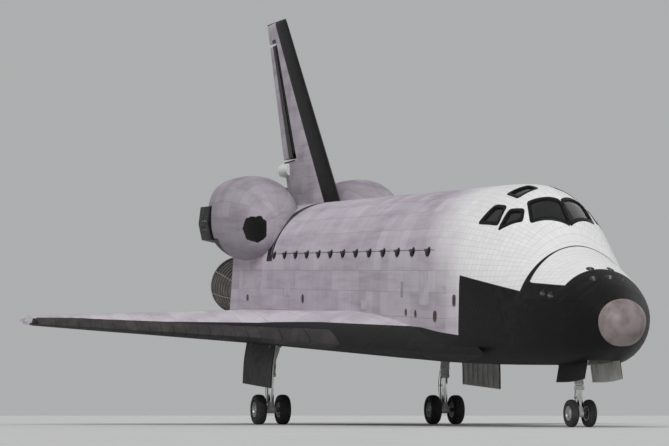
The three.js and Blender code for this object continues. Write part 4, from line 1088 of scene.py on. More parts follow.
def bulkheads():
    """Stiffeners and a rim on both end walls of the bay, and on the forward one the airlock's hatch and two
    windows."""
    parts = []
    walls = ((CABIN_END, 1, (-72, -48, 48, 72)), (BAY_END, -1, (-60, -36, -12, 12, 36, 60)))
    for station, out, spots in walls:
        slabs = []
        for side in spots:
            reach = math.sqrt(BAY_RADIUS ** 2 - side ** 2) - 3
            slabs.append(((side - 1, WAIST - reach), (side + 1, WAIST + reach * 0.9), 2.4))
        for height in (330, 356, 440, 466):
            reach = math.sqrt(BAY_RADIUS ** 2 - (height - WAIST) ** 2) - 3
            slabs.append(((-reach, height - 0.9), (reach, height + 0.9), 1.8))
        parts += [(wall_slab(station, out, *slab), GEAR_WHITE) for slab in slabs]
        rim = arc(BAY_RADIUS - 6, np.linspace(0, 2 * math.pi, 73))
        rim = [[[station + out * deep, y * grow, WAIST + z * grow] for y, z in rim]
               for deep, grow in ((-0.3, 1), (2.2, 1), (2.2, 1.035), (-0.3, 1.035))]
        parts.append((hoop(rim), GEAR_WHITE))
    profile = [(0, 0), (2.2, 0), (2.6, 14), (2.2, 19), (1.2, 20), (1.2, 22.5), (3.2, 22.8), (3.2, 24.5),
               (-0.3, 25)]
    parts.append((lathe(profile, (CABIN_END, 0, AIRLOCK_HEIGHT), AFT, 64), GEAR_WHITE))
    knob = bar((CABIN_END + 2, 0, AIRLOCK_HEIGHT), (CABIN_END + 4, 0, AIRLOCK_HEIGHT), 3.4, 24)
    parts.append((knob, STEEL))
    pane = rounded(AFT_WINDOW["wide"], AFT_WINDOW["tall"], 4)
    for side in (AFT_WINDOW["side"], -AFT_WINDOW["side"]):
        rings = [[[CABIN_END + deep, side + y * grow, AFT_WINDOW["height"] + z * grow] for y, z in pane]
                 for deep, grow in ((-0.3, 1.25), (1.8, 1.25), (1.8, 1.0), (0.4, 1.0))]
        parts.append((hoop(rings), GEAR_WHITE))
        parts.append((moved(drawn(pane, 0.2, 0.6), CABIN_END, side, AFT_WINDOW["height"]), SCREEN))
    piece("bay_bulkheads", parts, "airframe", slot="cabin_interior", smooth=35)


def shell_arc(front, back, inner, outer, low, high, steps=30):
    """The stretch between two radii and two angles about the bay's axis. low and high are each a pair of
    angles, at the inner and at the outer radius."""
    ring = arc(outer, np.linspace(low[1], high[1], steps + 1), WAIST)
    ring += arc(inner, np.linspace(high[0], low[0], steps + 1), WAIST)
    return drawn(ring, front, back)


def door_limits(inner, outer):
    low = [math.asin((DOOR["foot"] - WAIST) / r) for r in (inner, outer)]
    high = [math.pi / 2 - math.asin(DOOR["middle"] / r) for r in (inner, outer)]
    return low, high


def bay_doors():
    middle = DOOR["outer"] - 0.6
    shell = shell_arc(DOOR["front"], DOOR["back"], DOOR["inner"], middle, *door_limits(DOOR["inner"], middle))
    parts = [(shell, SKIN_WHITE)]
    limits = door_limits(middle - 0.2, DOOR["outer"])
    seam = 0.45
    edges = [DOOR["front"] - seam, *DOOR_SEAMS, DOOR["back"] + seam]
    for front, back in zip(edges, edges[1:]):
        parts.append((shell_arc(front + seam, back - seam, middle - 0.2, DOOR["outer"], *limits), SKIN_DOOR))
    side, height, radius = HINGES["side"], HINGES["height"], HINGES["radius"]
    for at in HINGE_SPOTS:
        start, stop = at - HINGES["long"] / 2, at + HINGES["long"] / 2
        parts.append((bar((start, side, height), (stop, side, height), radius, 16), DARK_METAL))
        parts.append((box((start, side - 5, height + 1), (stop, side, height + 1.8)), DARK_METAL))
    pair("bay_door", parts, "bay_door_{}", ["payload_bay_door_{}"], slot="composite_skin")
    panels = []
    edges = np.linspace(RADIATOR["front"], RADIATOR["back"], 5)
    limits = [[math.radians(RADIATOR[end])] * 2 for end in ("low", "high")]
    for front, back in zip(edges, edges[1:]):
        panel = shell_arc(front + 0.6, back - 0.6, RADIATOR["inner"], RADIATOR["outer"], *limits, 28)
        panels.append((panel, RADIATOR_METAL))
        for turn in (25, 75):
            ends = [arc(radius, [math.radians(turn)], WAIST)[0]
                    for radius in (RADIATOR["outer"] - 0.2, DOOR["inner"] + 0.3)]
            for at in (front + 20, back - 20):
                panels.append((bar((at, *ends[0]), (at, *ends[1]), 1.2, 10), STEEL))
    pair("radiator_panels", panels, "bay_door_{}", ["radiator_{}"], slot="radiator_silver")


def aft_body():
    recess = []
    for engine in MAIN_ENGINES.values():
        line = engine_line(engine)
        recess.append((bar(line(34), line(110), 31.6, 48), DARK_METAL))
    piece("aft_shell", [(fuselage(BAY_END, TAIL_END), SKIN_FUSELAGE)], "airframe", ["aft_fuselage"],
          "white_skin", cuts=recess)
    face_finish("aft_shell", BAY_END, LINER)
    face_finish("aft_shell", None, SKIN_BLACK)


def engine_line(engine):
    """A function that gives the point at a distance along an engine's axis."""
    pitch, yaw = math.radians(engine["pitch"]), math.radians(engine["yaw"])
    along = np.array([math.cos(pitch) * math.cos(yaw), math.cos(pitch) * math.sin(yaw), math.sin(pitch)])
    start = np.array(engine["at"], float)

    def point(distance):
        return start + along * distance
    return point


def bell_profile(points, steps=6):
    """A smooth profile through a few points of (distance, radius)."""
    curve = Smooth(*zip(*points))
    rows = np.linspace(points[0][0], points[-1][0], steps * (len(points) - 1) + 1)
    return [(x, float(curve(x))) for x in rows]


def engines():
    outer = bell_profile([(68, 12), (74, 20), (84, 27.5), (100, 35.2), (124, 41.2), (150, 45.4), (168, 47)])
    inner = [(x, r - 1.3) for x, r in reversed(outer)]
    bell = [(55, 0), (55, 9), *outer, *inner, (60, 8), (56, 0)]
    shield = [(30, 31.2), (40, 31), (50, 29.5), (58, 26), (64, 21), (68, 14), (68, 12.6), (62, 18),
              (50, 26), (30, 29.8)]
    lip = [(165, 45.9), (165, 48.2), (168, 48.4), (168.2, 46)]
    manifold = [(70, 16), (70, 23), (74, 25), (78, 23), (78, 20)]
    bands = []
    for at in np.linspace(92, 160, 9):
        radius = float(np.interp(at, *zip(*outer)))
        bands.append([(at + x, radius + r) for x, r in ((-0.8, -0.4), (-0.5, 0.9), (0.5, 0.9), (0.8, -0.4))])
    turned = [(bell, 96, BELL), *[(band, 96, BELL) for band in bands], (lip, 96, STEEL),
              (shield, 72, SKIN_BLACK), (manifold, 72, STEEL)]
    coolant = ((66, 17), (76, 26.5), (100, 36.8), (130, 43.6), (164, 48))
    for name, engine in MAIN_ENGINES.items():
        line = engine_line(engine)
        start, along = line(0), line(1) - line(0)
        parts = [(lathe(profile, start, along, count), paint) for profile, count, paint in turned]
        _, u, v = basis(along)
        for k in range(8):
            turn = 2 * math.pi * k / 8 + 0.3
            out = u * math.cos(turn) + v * math.sin(turn)
            parts.append((tube([line(at) + out * reach for at, reach in coolant], 0.85, 8), STEEL))
        piece(f"main_engine_{name}_bell", parts, "airframe", [f"main_engine_{name}"], "engine_metal",
              smooth=40)
    line = engine_line(POD_ENGINE)
    outer = bell_profile([(26, 5.5), (32, 9), (42, 14.6), (58, 20.2), (77, 23.2)])
    inner = [(x, r - 0.8) for x, r in reversed(outer)]
    turned = [([(19, 0), (19, 5), *outer, *inner, (20, 4), (20, 0)], 64, BELL),
              ([(75, 22.8), (75, 23.9), (77.2, 24), (77.2, 22.6)], 64, STEEL),
              ([(19, 0), (19, 19), (30, 18.6), (36, 12), (38, 11.6), (38, 0)], 48, SKIN_BLACK)]
    parts = [(lathe(profile, line(0), line(1) - line(0), count), paint) for profile, count, paint in turned]
    pair("oms_nozzle_bell", parts, "airframe", ["oms_nozzle_{}"], slot="engine_metal", smooth=40)


# Thrusters of the port pod by the way they point: the middles of their mouths, the way and the radius
POD_PORTS = [
    ([(1574, 128, 470), (1574, 128, 483)], (1, 0.1, 0.05), 5),
    ([(1534, 148.4, 476), (1550, 148.4, 476), (1534, 147.5, 462), (1550, 147.5, 462)], (0, 1, 0.08), 4.6),
    ([(1530, 132, 499), (1545, 132, 499), (1560, 132, 499)], (0, 0, 1), 4.6),
    ([(1536, 128, 441), (1552, 128, 441)], (0, 0.1, -1), 4.6),
]


def bulge(part, power):
    """A sine or cosine that draws a rounded square in place of a circle."""
    return math.copysign(abs(part) ** (2 / power), part)


def pods():
    roots = np.sqrt(np.array([row[0] for row in POD_SECTIONS]) - POD_SECTIONS[0][0])
    curves = [Smooth(roots, [row[k] for row in POD_SECTIONS]) for k in range(1, 5)]
    turns = [2 * math.pi * k / 72 for k in range(72)]
    rings = []
    for root in np.linspace(0.05, roots[-1], 48):
        side, height, wide, high = (float(curve(root)) for curve in curves)
        at = POD_SECTIONS[0][0] + root ** 2
        rings.append([[at, side + wide * bulge(math.cos(t), POD_ROUND),
                       height + high * bulge(math.sin(t), POD_ROUND)] for t in turns])
    line = engine_line(POD_ENGINE)
    pair("oms_pod_shell", [(loft(rings), SKIN_POD)], "airframe", ["oms_pod_{}"], slot="white_skin",
         smooth=40, cuts=[(bar(line(19), line(120), 19.5, 48), DARK_METAL)])
    block = drawn([(112, 438), (143, 444), (149, 470), (146, 498), (118, 500)], 1512, 1574)
    cones = []
    for places, along, r in POD_PORTS:
        profile = [(-6, 0), (-6, r * 0.5), (0, r), (3, r * 1.2), (3, 0)]
        cones += [(lathe(profile, place, along, 32), DARK_METAL) for place in places]
    pair("pod_thrusters", [(block, SKIN_BLACK)], "airframe", slot="black_tile", bevel=2.2, cuts=cones)


# Wings and tail

def wing_floor(side):
    return BELLY + max(0, side - BODY_HALF) * WING["rise"]


def wing_share(side):
    return (side - BODY_HALF) / (WING["tip"] - BODY_HALF)


def lead_station(side):
    if side < WING["knee"]:
        return WING["glove_nose"] + (side - WING["glove_side"]) * GLOVE_RUN
    return WING["lead"] + side


def hinge_half(side):
    return mix(WING["half_root"], WING["half_tip"], wing_share(side))


def tip_share(side):
    """How much of the wing's thickness is left: less over the last inches of the tip."""
    return 0.35 if side > 465 else 1


def wing_thick(side):
    return mix(WING["root"], WING["thin"], wing_share(side)) * tip_share(side)


def wing_upper(side, steps):
    """Station and height from the leading edge back over the top."""
    lead, back = lead_station(side), WING["hinge"] - hinge_half(side) - GAP
    thick = wing_thick(side)
    rise = thick * 0.2
    crest = max(lead + (back - lead) * 0.45, lead + 60)
    floor = wing_floor(side)
    points = []
    for share in (np.arange(steps) / steps) ** 1.8:
        swell = (1 - (1 - share) ** 2) ** 0.7
        points.append((lead + (crest - lead) * share, floor + rise + (thick - rise) * swell))
    top = floor + hinge_half(side) + 1 + (hinge_half(side) + 0.6) * tip_share(side)
    for share in np.linspace(0, 1, steps // 2):
        points.append((mix(crest, back, share), mix(floor + thick, top, share ** 1.25)))
    return points


def wing_lower(side, steps):
    """Station and height from the flat underside forward to the leading edge."""
    lead, back = lead_station(side), WING["hinge"] - hinge_half(side) - GAP
    rise = wing_thick(side) * 0.2
    reach = (back - lead) * 0.16
    return [(lead + reach * share, wing_floor(side) + rise * (1 - share) ** 2.2)
            for share in (np.arange(steps, 0, -1) / steps) ** 1.6]


def wing_ring(side):
    upper = wing_upper(side, 22)
    back = upper[-1][0]
    return [[s, side, z] for s, z in [*upper, (back, wing_floor(side)), *wing_lower(side, 14)]]


EDGE_PANELS = 22
EDGE_START = 150
EDGE_END = 466
EDGE_LIFT = 0.35


def edge_panel(start, stop):
    """One carbon panel of the leading edge, from the underside round to the top."""
    rings = []
    for side in (start, mix(start, stop, 0.5), stop):
        depth = 15 if side > WING["knee"] else mix(30, 15, (side - EDGE_START) / (WING["knee"] - EDGE_START))
        lead = lead_station(side)
        path = []
        for line, count in ((wing_lower(side, 30), 8), (wing_upper(side, 40), 10)):
            path += line_points([q for q in line if q[0] - lead < depth * 1.6], count)
        normals = []
        for k in range(len(path)):
            before, after = path[max(k - 1, 0)], path[min(k + 1, len(path) - 1)]
            ds, dz = after[0] - before[0], after[1] - before[1]
            length = math.hypot(ds, dz) or 1
            normals.append((-dz / length, ds / length))
        ring = []
        for lift, order in ((EDGE_LIFT, 1), (-1.0, -1)):
            ring += [[s + ns * lift, side, z + nz * lift] for (s, z), (ns, nz) in zip(path, normals)][::order]
        rings.append(ring)
    return loft(rings)


def line_points(points, count):
    """Evenly spaced points along a broken line."""
    p = np.array(points)
    length = np.concatenate([[0], np.cumsum(np.hypot(*np.diff(p, axis=0).T))])
    at = np.linspace(0, length[-1], count)
    return list(zip(np.interp(at, length, p[:, 0]), np.interp(at, length, p[:, 1])))


def flap_ring(hinge, side, height, radius, trail, trail_height, steps=14):
    """A flap's section: a round nose about the hinge and flat faces to the trailing edge."""
    turns = np.linspace(math.pi / 2, 1.5 * math.pi, steps)
    ring = [[hinge + radius * math.cos(t), height + radius * math.sin(t)] for t in turns]
    low, high = trail_height - THIN / 2, trail_height + THIN / 2
    ring += [[mix(hinge, trail, k / 4), mix(height - radius, low, k / 4)] for k in range(1, 5)]
    ring += [[mix(trail, hinge, k / 4), mix(high, height + radius, k / 4)] for k in range(4)]
    return [[s, side, z] for s, z in ring]


def wings():
    sides = sorted({88, 92, 98, 106, *np.linspace(110, 188, 14), *np.linspace(188, 464, 28), EDGE_END,
                    WING["tip"]})
    well = box((MAIN_WELL["front"], MAIN_WELL["inner"], 200),
               (MAIN_WELL["back"], MAIN_WELL["outer"], MAIN_WELL["roof"]))
    pair("wing_shell", [(loft([wing_ring(float(s)) for s in sides]), SKIN_WING)], "airframe", ["wing_{}"],
         slot="white_skin", cuts=[(well, PRIMER), (cabin_room(), CABIN_GREY)], smooth=40)
    edges = np.linspace(EDGE_START, EDGE_END, EDGE_PANELS + 1)
    panels = [(edge_panel(a + 0.25, b - 0.25), SHADED_CARBON) for a, b in zip(edges, edges[1:])]
    pair("leading_edge_panels", panels, "airframe", ["wing_leading_edge_{}"], slot="carbon", smooth=40)
    for name, body, start, stop in ELEVONS:
        rings = []
        for side in np.linspace(start, stop, 9):
            floor, half = wing_floor(side), hinge_half(side)
            trail = WING["trail"] - WING["slope"] * side
            rings.append(flap_ring(WING["hinge"], side, floor + half + 1, half, trail, floor + 5))
        pair(f"elevon_{name}_skin", [(loft(rings), SKIN_FLAP)], f"elevon_{body}_{{}}",
             [f"elevon_{name}_{{}}"], slot="white_skin", smooth=40)


def fin_lead(height):
    return FIN["lead"] + height - FIN["root"]


def fin_trail(height):
    return FIN["trail"] + (height - FIN["root"]) * FIN["slope"]


def fin_hinge(height):
    return mix(fin_lead(height), fin_trail(height), FIN["hinge"])


def fin_half(height):
    return (fin_trail(height) - fin_lead(height)) * FIN["thickness"] / 2


FIN_SWELL = Smooth([0, 0.012, 0.06, 0.2, 0.5, 1], [0, 0.14, 0.34, 0.62, 0.9, 1])


def fin_ring(height, round_tip=0.0):
    lead, hinge, trail = fin_lead(height), fin_hinge(height), fin_trail(height)
    half = fin_half(height) * (1 - round_tip)
    shares = np.linspace(0, 1, 18) ** 2.2
    port = [[mix(lead, hinge, t), max(half * float(FIN_SWELL(t)), 0.001)] for t in shares[1:]]
    ring = [[lead, 0]] + port + [[trail, THIN / 2], [trail, -THIN / 2]] + [[s, -y] for s, y in reversed(port)]
    return [[s, y, height] for s, y in ring]


def rudder_panel():
    middle = 0.25
    rings = []
    for height in np.linspace(FIN["foot"], FIN["head"], 8):
        hinge, half, trail = fin_hinge(height), fin_half(height), fin_trail(height)
        front = hinge + half * 0.35
        outer = mix(half, THIN / 2, (front - hinge) / (trail - hinge))
        corners = ((front, middle), (trail, middle), (trail, THIN / 2), (front, outer))
        rings.append([[s, side, height] for s, side in corners])
    return loft(rings)


def hinge_cone(share, extra, low, high, sides=40):
    """A tapered bar on the rudder's hinge, as a share of the fin's thickness and inches more."""
    return bar((fin_hinge(low), 0, low), (fin_hinge(high), 0, high), fin_half(low) * share + extra, sides,
               fin_half(high) * share + extra)


def tail():
    behind = 1660
    rings = [fin_ring(h) for h in (495, 530, 560, FIN["foot"], 620, 680, 740, FIN["cap"], 808)]
    rings += [fin_ring(FIN["tip"] - FIN["round"] + FIN["round"] * k / 5, 0.75 * (k / 5) ** 3)
              for k in range(1, 6)]
    room = []
    for height in (FIN["foot"] - FIN["foot_gap"], FIN["cap"]):
        front, back = fin_hinge(height) - fin_half(height) * 1.25 - GAP, fin_trail(height) + 30
        room.append([[front, -30, height], [front, 30, height], [back, 30, height], [back, -30, height]])
    profile = [(1478, 440), (1478, 504), (1500, 504), (1592, 545), (behind, 560), (behind, 440)]
    low_cut = loft([[[s, y, z] for s, z in profile] for y in (-40, 40)])
    start, height = (CHUTE["front"], 0, CHUTE["height"]), CHUTE["height"]
    chute_room = bar(start, (behind, 0, height), CHUTE["radius"] + 0.05, 40)
    piece("fin_shell", [(loft(rings), SKIN_FIN)], "airframe", ["vertical_fin"], "white_skin",
          cuts=[(loft(room), DARK_METAL), (low_cut, SKIN_FIN), (chute_room, DARK_METAL)], smooth=35)
    long = CHUTE["back"] - CHUTE["front"]
    profile = [(0.1, 0), (0.1, 11.4), (long - 7, 11.4), (long - 4, 11), (long - 1.5, 9.6), (long, 7),
               (long, 0)]
    piece("chute_shell", [(lathe(profile, start, AFT, 48), SKIN_WHITE)], "airframe", ["drag_chute_housing"],
          "white_skin", smooth=40)
    cone = hinge_cone(0.86, 0.4, FIN["foot"] - 8, FIN["head"] + 8)
    pair("speedbrake_skin", [(rudder_panel(), SKIN_FIN)], "speedbrake_{}", ["speedbrake_panel_{}"],
         slot="white_skin", cuts=[(cone, DARK_METAL)])
    piece("rudder_shaft_skin", [(hinge_cone(0.86, 0, FIN["foot"] + 6, FIN["head"]), SKIN_BLACK)], "rudder",
          ["rudder_shaft"], "black_tile")


def rear_flap():
    shape = (FLAP["height"], FLAP["radius"], FLAP["trail"], FLAP["trail_height"])
    rings = [flap_ring(FLAP["hinge"], side, *shape) for side in np.linspace(-FLAP["half"], FLAP["half"], 13)]
    piece("body_flap_skin", [(loft(rings), SKIN_FLAP)], "flap", ["body_flap"], "black_tile", smooth=40)


# Landing gear

MAIN_GEAR = {"at": MAIN_AXLE["station"], "side": MAIN_AXLE["side"], "axle": MAIN_AXLE["height"],
             "trunnion": 302, "twin": 18.3}
MAIN_TYRE = {"radius": 22.04, "wide": 15.8, "rim": 10.6, "grooves": (-4.6, -1.6, 1.6, 4.6), "axle": 3.2}
NOSE_GEAR = {"at": 364, "top": 372, "trunnion": 302, "twin": 11}
NOSE_TYRE = {"radius": 15.85, "wide": 8.6, "rim": 8.1, "grooves": (-2.2, 0, 2.2), "axle": 2.2}
GROOVE = {"half": 0.28, "deep": 0.4}
TYRE_ROUND = 2.7
SPOKES = 9
# Where the drag braces of the legs meet the roofs of their wells
MAIN_BRACE = {"at": 1104, "height": 312}
NOSE_BRACE = {"at": 322, "height": 326}
# Outlines of a wheel as shares of half its width and of its rim's radius
RIM_SHAPE = [(1, 0), (1, 0.2), (0.86, 0.26), (0.8, 0.42), (0.5, 0.5), (0.42, 0.74), (0.62, 0.86),
             (0.98, 0.93), (1.06, 1.04), (0.9, 1.06), (0.8, 1), (-0.8, 1), (-0.9, 1.06), (-1.06, 1.04),
             (-1, 0.92), (-0.3, 0.88), (-0.3, 0)]
CAP_SHAPE = [(1.12, 0), (1.12, 0.12), (1, 0.16)]
BRAKE_SHAPE = [(-0.3, 0.8), (-0.55, 0.8), (-0.55, 0.74), (-0.7, 0.74), (-0.7, 0.8), (-0.95, 0.8),
               (-0.95, 0.3), (-1.1, 0.3), (-1.1, 0)]


def tyre_profile(tyre):
    """A closed outline of distance from the tyre's middle and radius, with grooves in the tread."""
    half, middle = tyre["wide"] / 2, (tyre["radius"] + tyre["rim"]) / 2
    tall = tyre["radius"] - middle
    outline = [(half * bulge(math.cos(turn), TYRE_ROUND), middle + tall * bulge(math.sin(turn), TYRE_ROUND))
               for turn in np.radians(np.linspace(-42, 222, 61))]
    for groove in tyre["grooves"]:
        edges = [groove + GROOVE["half"], groove - GROOVE["half"]]
        outside = [q for q in outline if not (edges[1] <= q[0] <= edges[0] and q[1] > middle)]
        tread = [q for q in outside if q[1] > middle]
        radius = [np.interp(edge, [q[0] for q in tread[::-1]], [q[1] for q in tread[::-1]]) for edge in edges]
        cut = [(edges[0], radius[0]), (edges[0] - 0.06, radius[0] - GROOVE["deep"]),
               (edges[1] + 0.06, radius[1] - GROOVE["deep"]), (edges[1], radius[1])]
        spot = next(k for k, q in enumerate(outside) if q[1] > middle and q[0] < edges[1])
        outline = outside[:spot] + cut + outside[spot:]
    return outline


def wheel_solids(centre, out, tyre):
    """A wheel whose outer face looks along out, which is 1 to port or -1."""
    face, rim = tyre["wide"] * 0.4, tyre["rim"]

    def spot(turn, reach, across):
        arm = np.array([reach * rim * math.cos(turn), out * across * face, reach * rim * math.sin(turn)])
        return centre + arm

    solids = []
    shapes = ((RIM_SHAPE, 64, RIM_METAL), (CAP_SHAPE, 32, STEEL), (BRAKE_SHAPE, 48, DARK_METAL))
    for shape, count, paint in shapes:
        profile = [(out * x * face, r * rim) for x, r in shape]
        solids.append((lathe(profile, centre, TO_PORT, count), paint))
    for k in range(SPOKES):
        turn = 2 * math.pi * k / SPOKES
        spoke = bar(spot(turn, 0.38, 0.6), spot(turn, 0.88, 0.62), rim * 0.075, 10)
        turn += math.pi / SPOKES
        bolt = bar(spot(turn, 0.62, 0.3), spot(turn, 0.62, 0.56), rim * 0.05, 6)
        solids += [(spoke, RIM_METAL), (bolt, STEEL)]
    return solids


def wheel_pair(name, gear, height, tyre, body, hub_node, tyre_nodes):
    """Twin wheels on one axle. tyre_nodes are the CAD's tyres to port and to starboard of its middle."""
    middle = np.array([gear["at"], gear.get("side", 0), height], float)
    ends = [middle + (0, out * gear["twin"], 0) for out in (1, -1)]
    solids = [*wheel_solids(ends[0], 1, tyre), *wheel_solids(ends[1], -1, tyre)]
    solids.append((bar(*ends, tyre["axle"], 24), STEEL))
    collar = [(-1.2, 0), (-1.2, tyre["axle"] * 1.12), (1.2, tyre["axle"] * 1.12), (1.2, 0)]
    solids.append((lathe(collar, middle, TO_PORT, 24), STEEL))
    piece(f"{name}_rims", solids, body, [hub_node], "wheel_metal", smooth=35)
    for end, node in zip(ends, tyre_nodes):
        tread = lathe(tyre_profile(tyre), end, TO_PORT, 80)
        piece(f"{node}_tread", [(tread, RUBBER)], body, [node], "tyre_rubber", smooth=38)


def wheels():
    side = MAIN_GEAR["side"]
    for word, at, places in (("left", side, ("outer", "inner")), ("right", -side, ("inner", "outer"))):
        wheel_pair(f"main_{word}", MAIN_GEAR | {"side": at}, MAIN_GEAR["axle"], MAIN_TYRE,
                   f"main_wheel_pair_{word}", f"main_wheels_{word}",
                   [f"main_tyre_{word}_{place}" for place in places])
    wheel_pair("nose", NOSE_GEAR, NOSE_AXLE, NOSE_TYRE, "nose_wheel_pair", "nose_wheels",
               ["nose_tyre_left", "nose_tyre_right"])


def torque_link(start, knee, half, radius):
    """Two arms that close in from a hinge to a knee, with a pin at each end and one across."""
    start, knee, out = np.array(start, float), np.array(knee, float), np.array([0, half, 0], float)
    near, far = [start + out, start - out], [knee + out * 0.4, knee - out * 0.4]
    solids = [bar(a, b, radius, 12, radius * 0.75) for a, b in zip(near, far)]
    solids.append(bar(start + out * 1.35, start - out * 1.35, radius * 1.1, 14))
    solids.append(bar(knee + out * 0.8, knee - out * 0.8, radius * 0.95, 14))
    solids.append(bar(*[mix(a, b, 0.45) for a, b in zip(near, far)], radius * 0.6, 10))
    return solids


MAIN_STRUT = {"foot": 238, "head": 311, "radius": 6.4, "piston": 4.2, "knee_at": 1186, "knee": 226}


def main_struts():
    at, side, axle = MAIN_GEAR["at"], MAIN_GEAR["side"], MAIN_GEAR["axle"]
    foot, head, radius = MAIN_STRUT["foot"], MAIN_STRUT["head"], MAIN_STRUT["radius"]
    trunnion = MAIN_GEAR["trunnion"]
    long = head - foot
    leg = [(0, 0), (0, radius - 0.6), (0.8, radius + 0.5), (4.5, radius + 0.5), (5.2, radius - 0.1),
           (13, radius - 0.1), (13.6, radius + 0.4), (16, radius + 0.4), (16.6, radius), (40, radius + 0.2),
           (40.6, radius + 0.7), (44, radius + 0.7), (44.6, radius + 0.2), (long - 2, radius + 0.4),
           (long, radius - 0.4), (long, 0)]
    boss = [(-7, 0), (-7, 4.4), (-6, 5.5), (6, 5.5), (7, 4.4), (7, 0)]
    socket = [(0, 0), (0, 5.2), (6, 4.9), (9, 4.5), (9, 0)]
    collar = [(0, 0), (0, 5.2), (5, 5.2), (6, 4.2), (6, 0)]
    clamp = [(0, 0), (0, radius + 0.75), (1.2, radius + 0.75), (1.2, 0)]
    parts = [(lathe(leg, (at, side, foot), UP, 48), GEAR_WHITE),
             (bar((at, side, axle), (at, side, foot + 2), MAIN_STRUT["piston"], 40), CHROME),
             (lathe(boss, (at, side, axle), TO_PORT, 40), GEAR_WHITE),
             (lathe(socket, (at, side, axle + 3), UP, 40), GEAR_WHITE),
             (bar((at, MAIN_WELL["inner"] + 0.3, trunnion), (at, MAIN_WELL["outer"] - 0.3, trunnion), 4, 32),
              GEAR_WHITE)]
    for out in (1, -1):
        parts.append((lathe(collar, (at, side + out * 8, trunnion), (0, out, 0), 32), GEAR_WHITE))
    knee = (MAIN_STRUT["knee_at"], side, MAIN_STRUT["knee"])
    for start in ((at + 6, side, foot + 8), (at + 5, side, axle + 10)):
        parts += [(solid, GEAR_WHITE) for solid in torque_link(start, knee, 3.6, 1.25)]
    for out, lean in ((1, 0.0), (-1, 1.5)):
        hose = ((6.8, 2.2, head - 12), (8.5 + lean, 3.2, foot + 40), (8 + lean, 3.4, foot + 18),
                (13 + lean, 4.6, foot - 6), (11, 5, foot - 22), (5.5, 5.4, axle + 8), (3, 7.4, axle + 2))
        path = [(at + x, side + out * y, z) for x, y, z in hose]
        parts.append((tube(curved(path), 0.42, 8), RUBBER))
    for height in (foot + 24, foot + 52):
        parts.append((lathe(clamp, (at, side, height), UP, 40), STEEL))
    pair("main_strut_detail", parts, "airframe", ["main_gear_strut_{}"], slot="gear_metal", smooth=40)

    end, top = MAIN_BRACE["at"], MAIN_BRACE["height"]
    start, stop = np.array([at - 6.6, side, 257]), np.array([end, side, top])
    middle = mix(start, stop, 0.52)
    sleeve = [(0, 0), (0, 2.2), (3, 2.9), (34, 2.9), (37, 2.3), (40, 2.3)]
    parts = [(lathe(sleeve, start, stop - start, 28), GEAR_WHITE),
             (bar(middle, stop, 2.5, 28), GEAR_WHITE),
             (lathe([(-3, 0), (-3, 3.4), (3, 3.4), (3, 0)], middle, TO_PORT, 28), STEEL),
             (bar((end, side - 14, top), (end, side + 14, top), 2.6, 28), STEEL)]
    for out in (1, -1):
        lug = sorted([side + out * 14, side + out * 11])
        parts.append((box((end - 6, lug[0], top - 4), (end + 6, lug[1], top + 7.6)), GEAR_WHITE))
        parts.append((bar(middle + (0, out * 2.6, 0), (at - 4, side + out * 4, 292), 1.1, 16), STEEL))
    pair("main_brace_detail", parts, "airframe", ["main_gear_brace_{}"], slot="gear_metal", smooth=40)


def curved(points, steps=6):
    """Points of a smooth path through the given ones."""
    p = [np.asarray(q, float) for q in points]
    p = [2 * p[0] - p[1], *p, 2 * p[-1] - p[-2]]
    path = []
    for a, b, c, d in zip(p, p[1:], p[2:], p[3:]):
        for k in range(steps):
            u = k / steps
            path.append(0.5 * (2 * b + (c - a) * u + (2 * a - 5 * b + 4 * c - d) * u ** 2
                               + (3 * b - a - 3 * c + d) * u ** 3))
    return [*path, p[-2]]


# The height of the nose axle: the CAD's tyres have corners and stand on the flats between them
CAD_TYRES = {"nose": 16, "main": 22.24, "corners": 24}
FLAT = math.cos(math.pi / CAD_TYRES["corners"])
NOSE_DROP = (CAD_TYRES["nose"] - CAD_TYRES["main"]) * FLAT
NOSE_RUN = (MAIN_GEAR["at"] - NOSE_GEAR["at"]) * math.sin(PITCH)
NOSE_AXLE = MAIN_GEAR["axle"] + (NOSE_RUN + NOSE_DROP) / math.cos(PITCH)


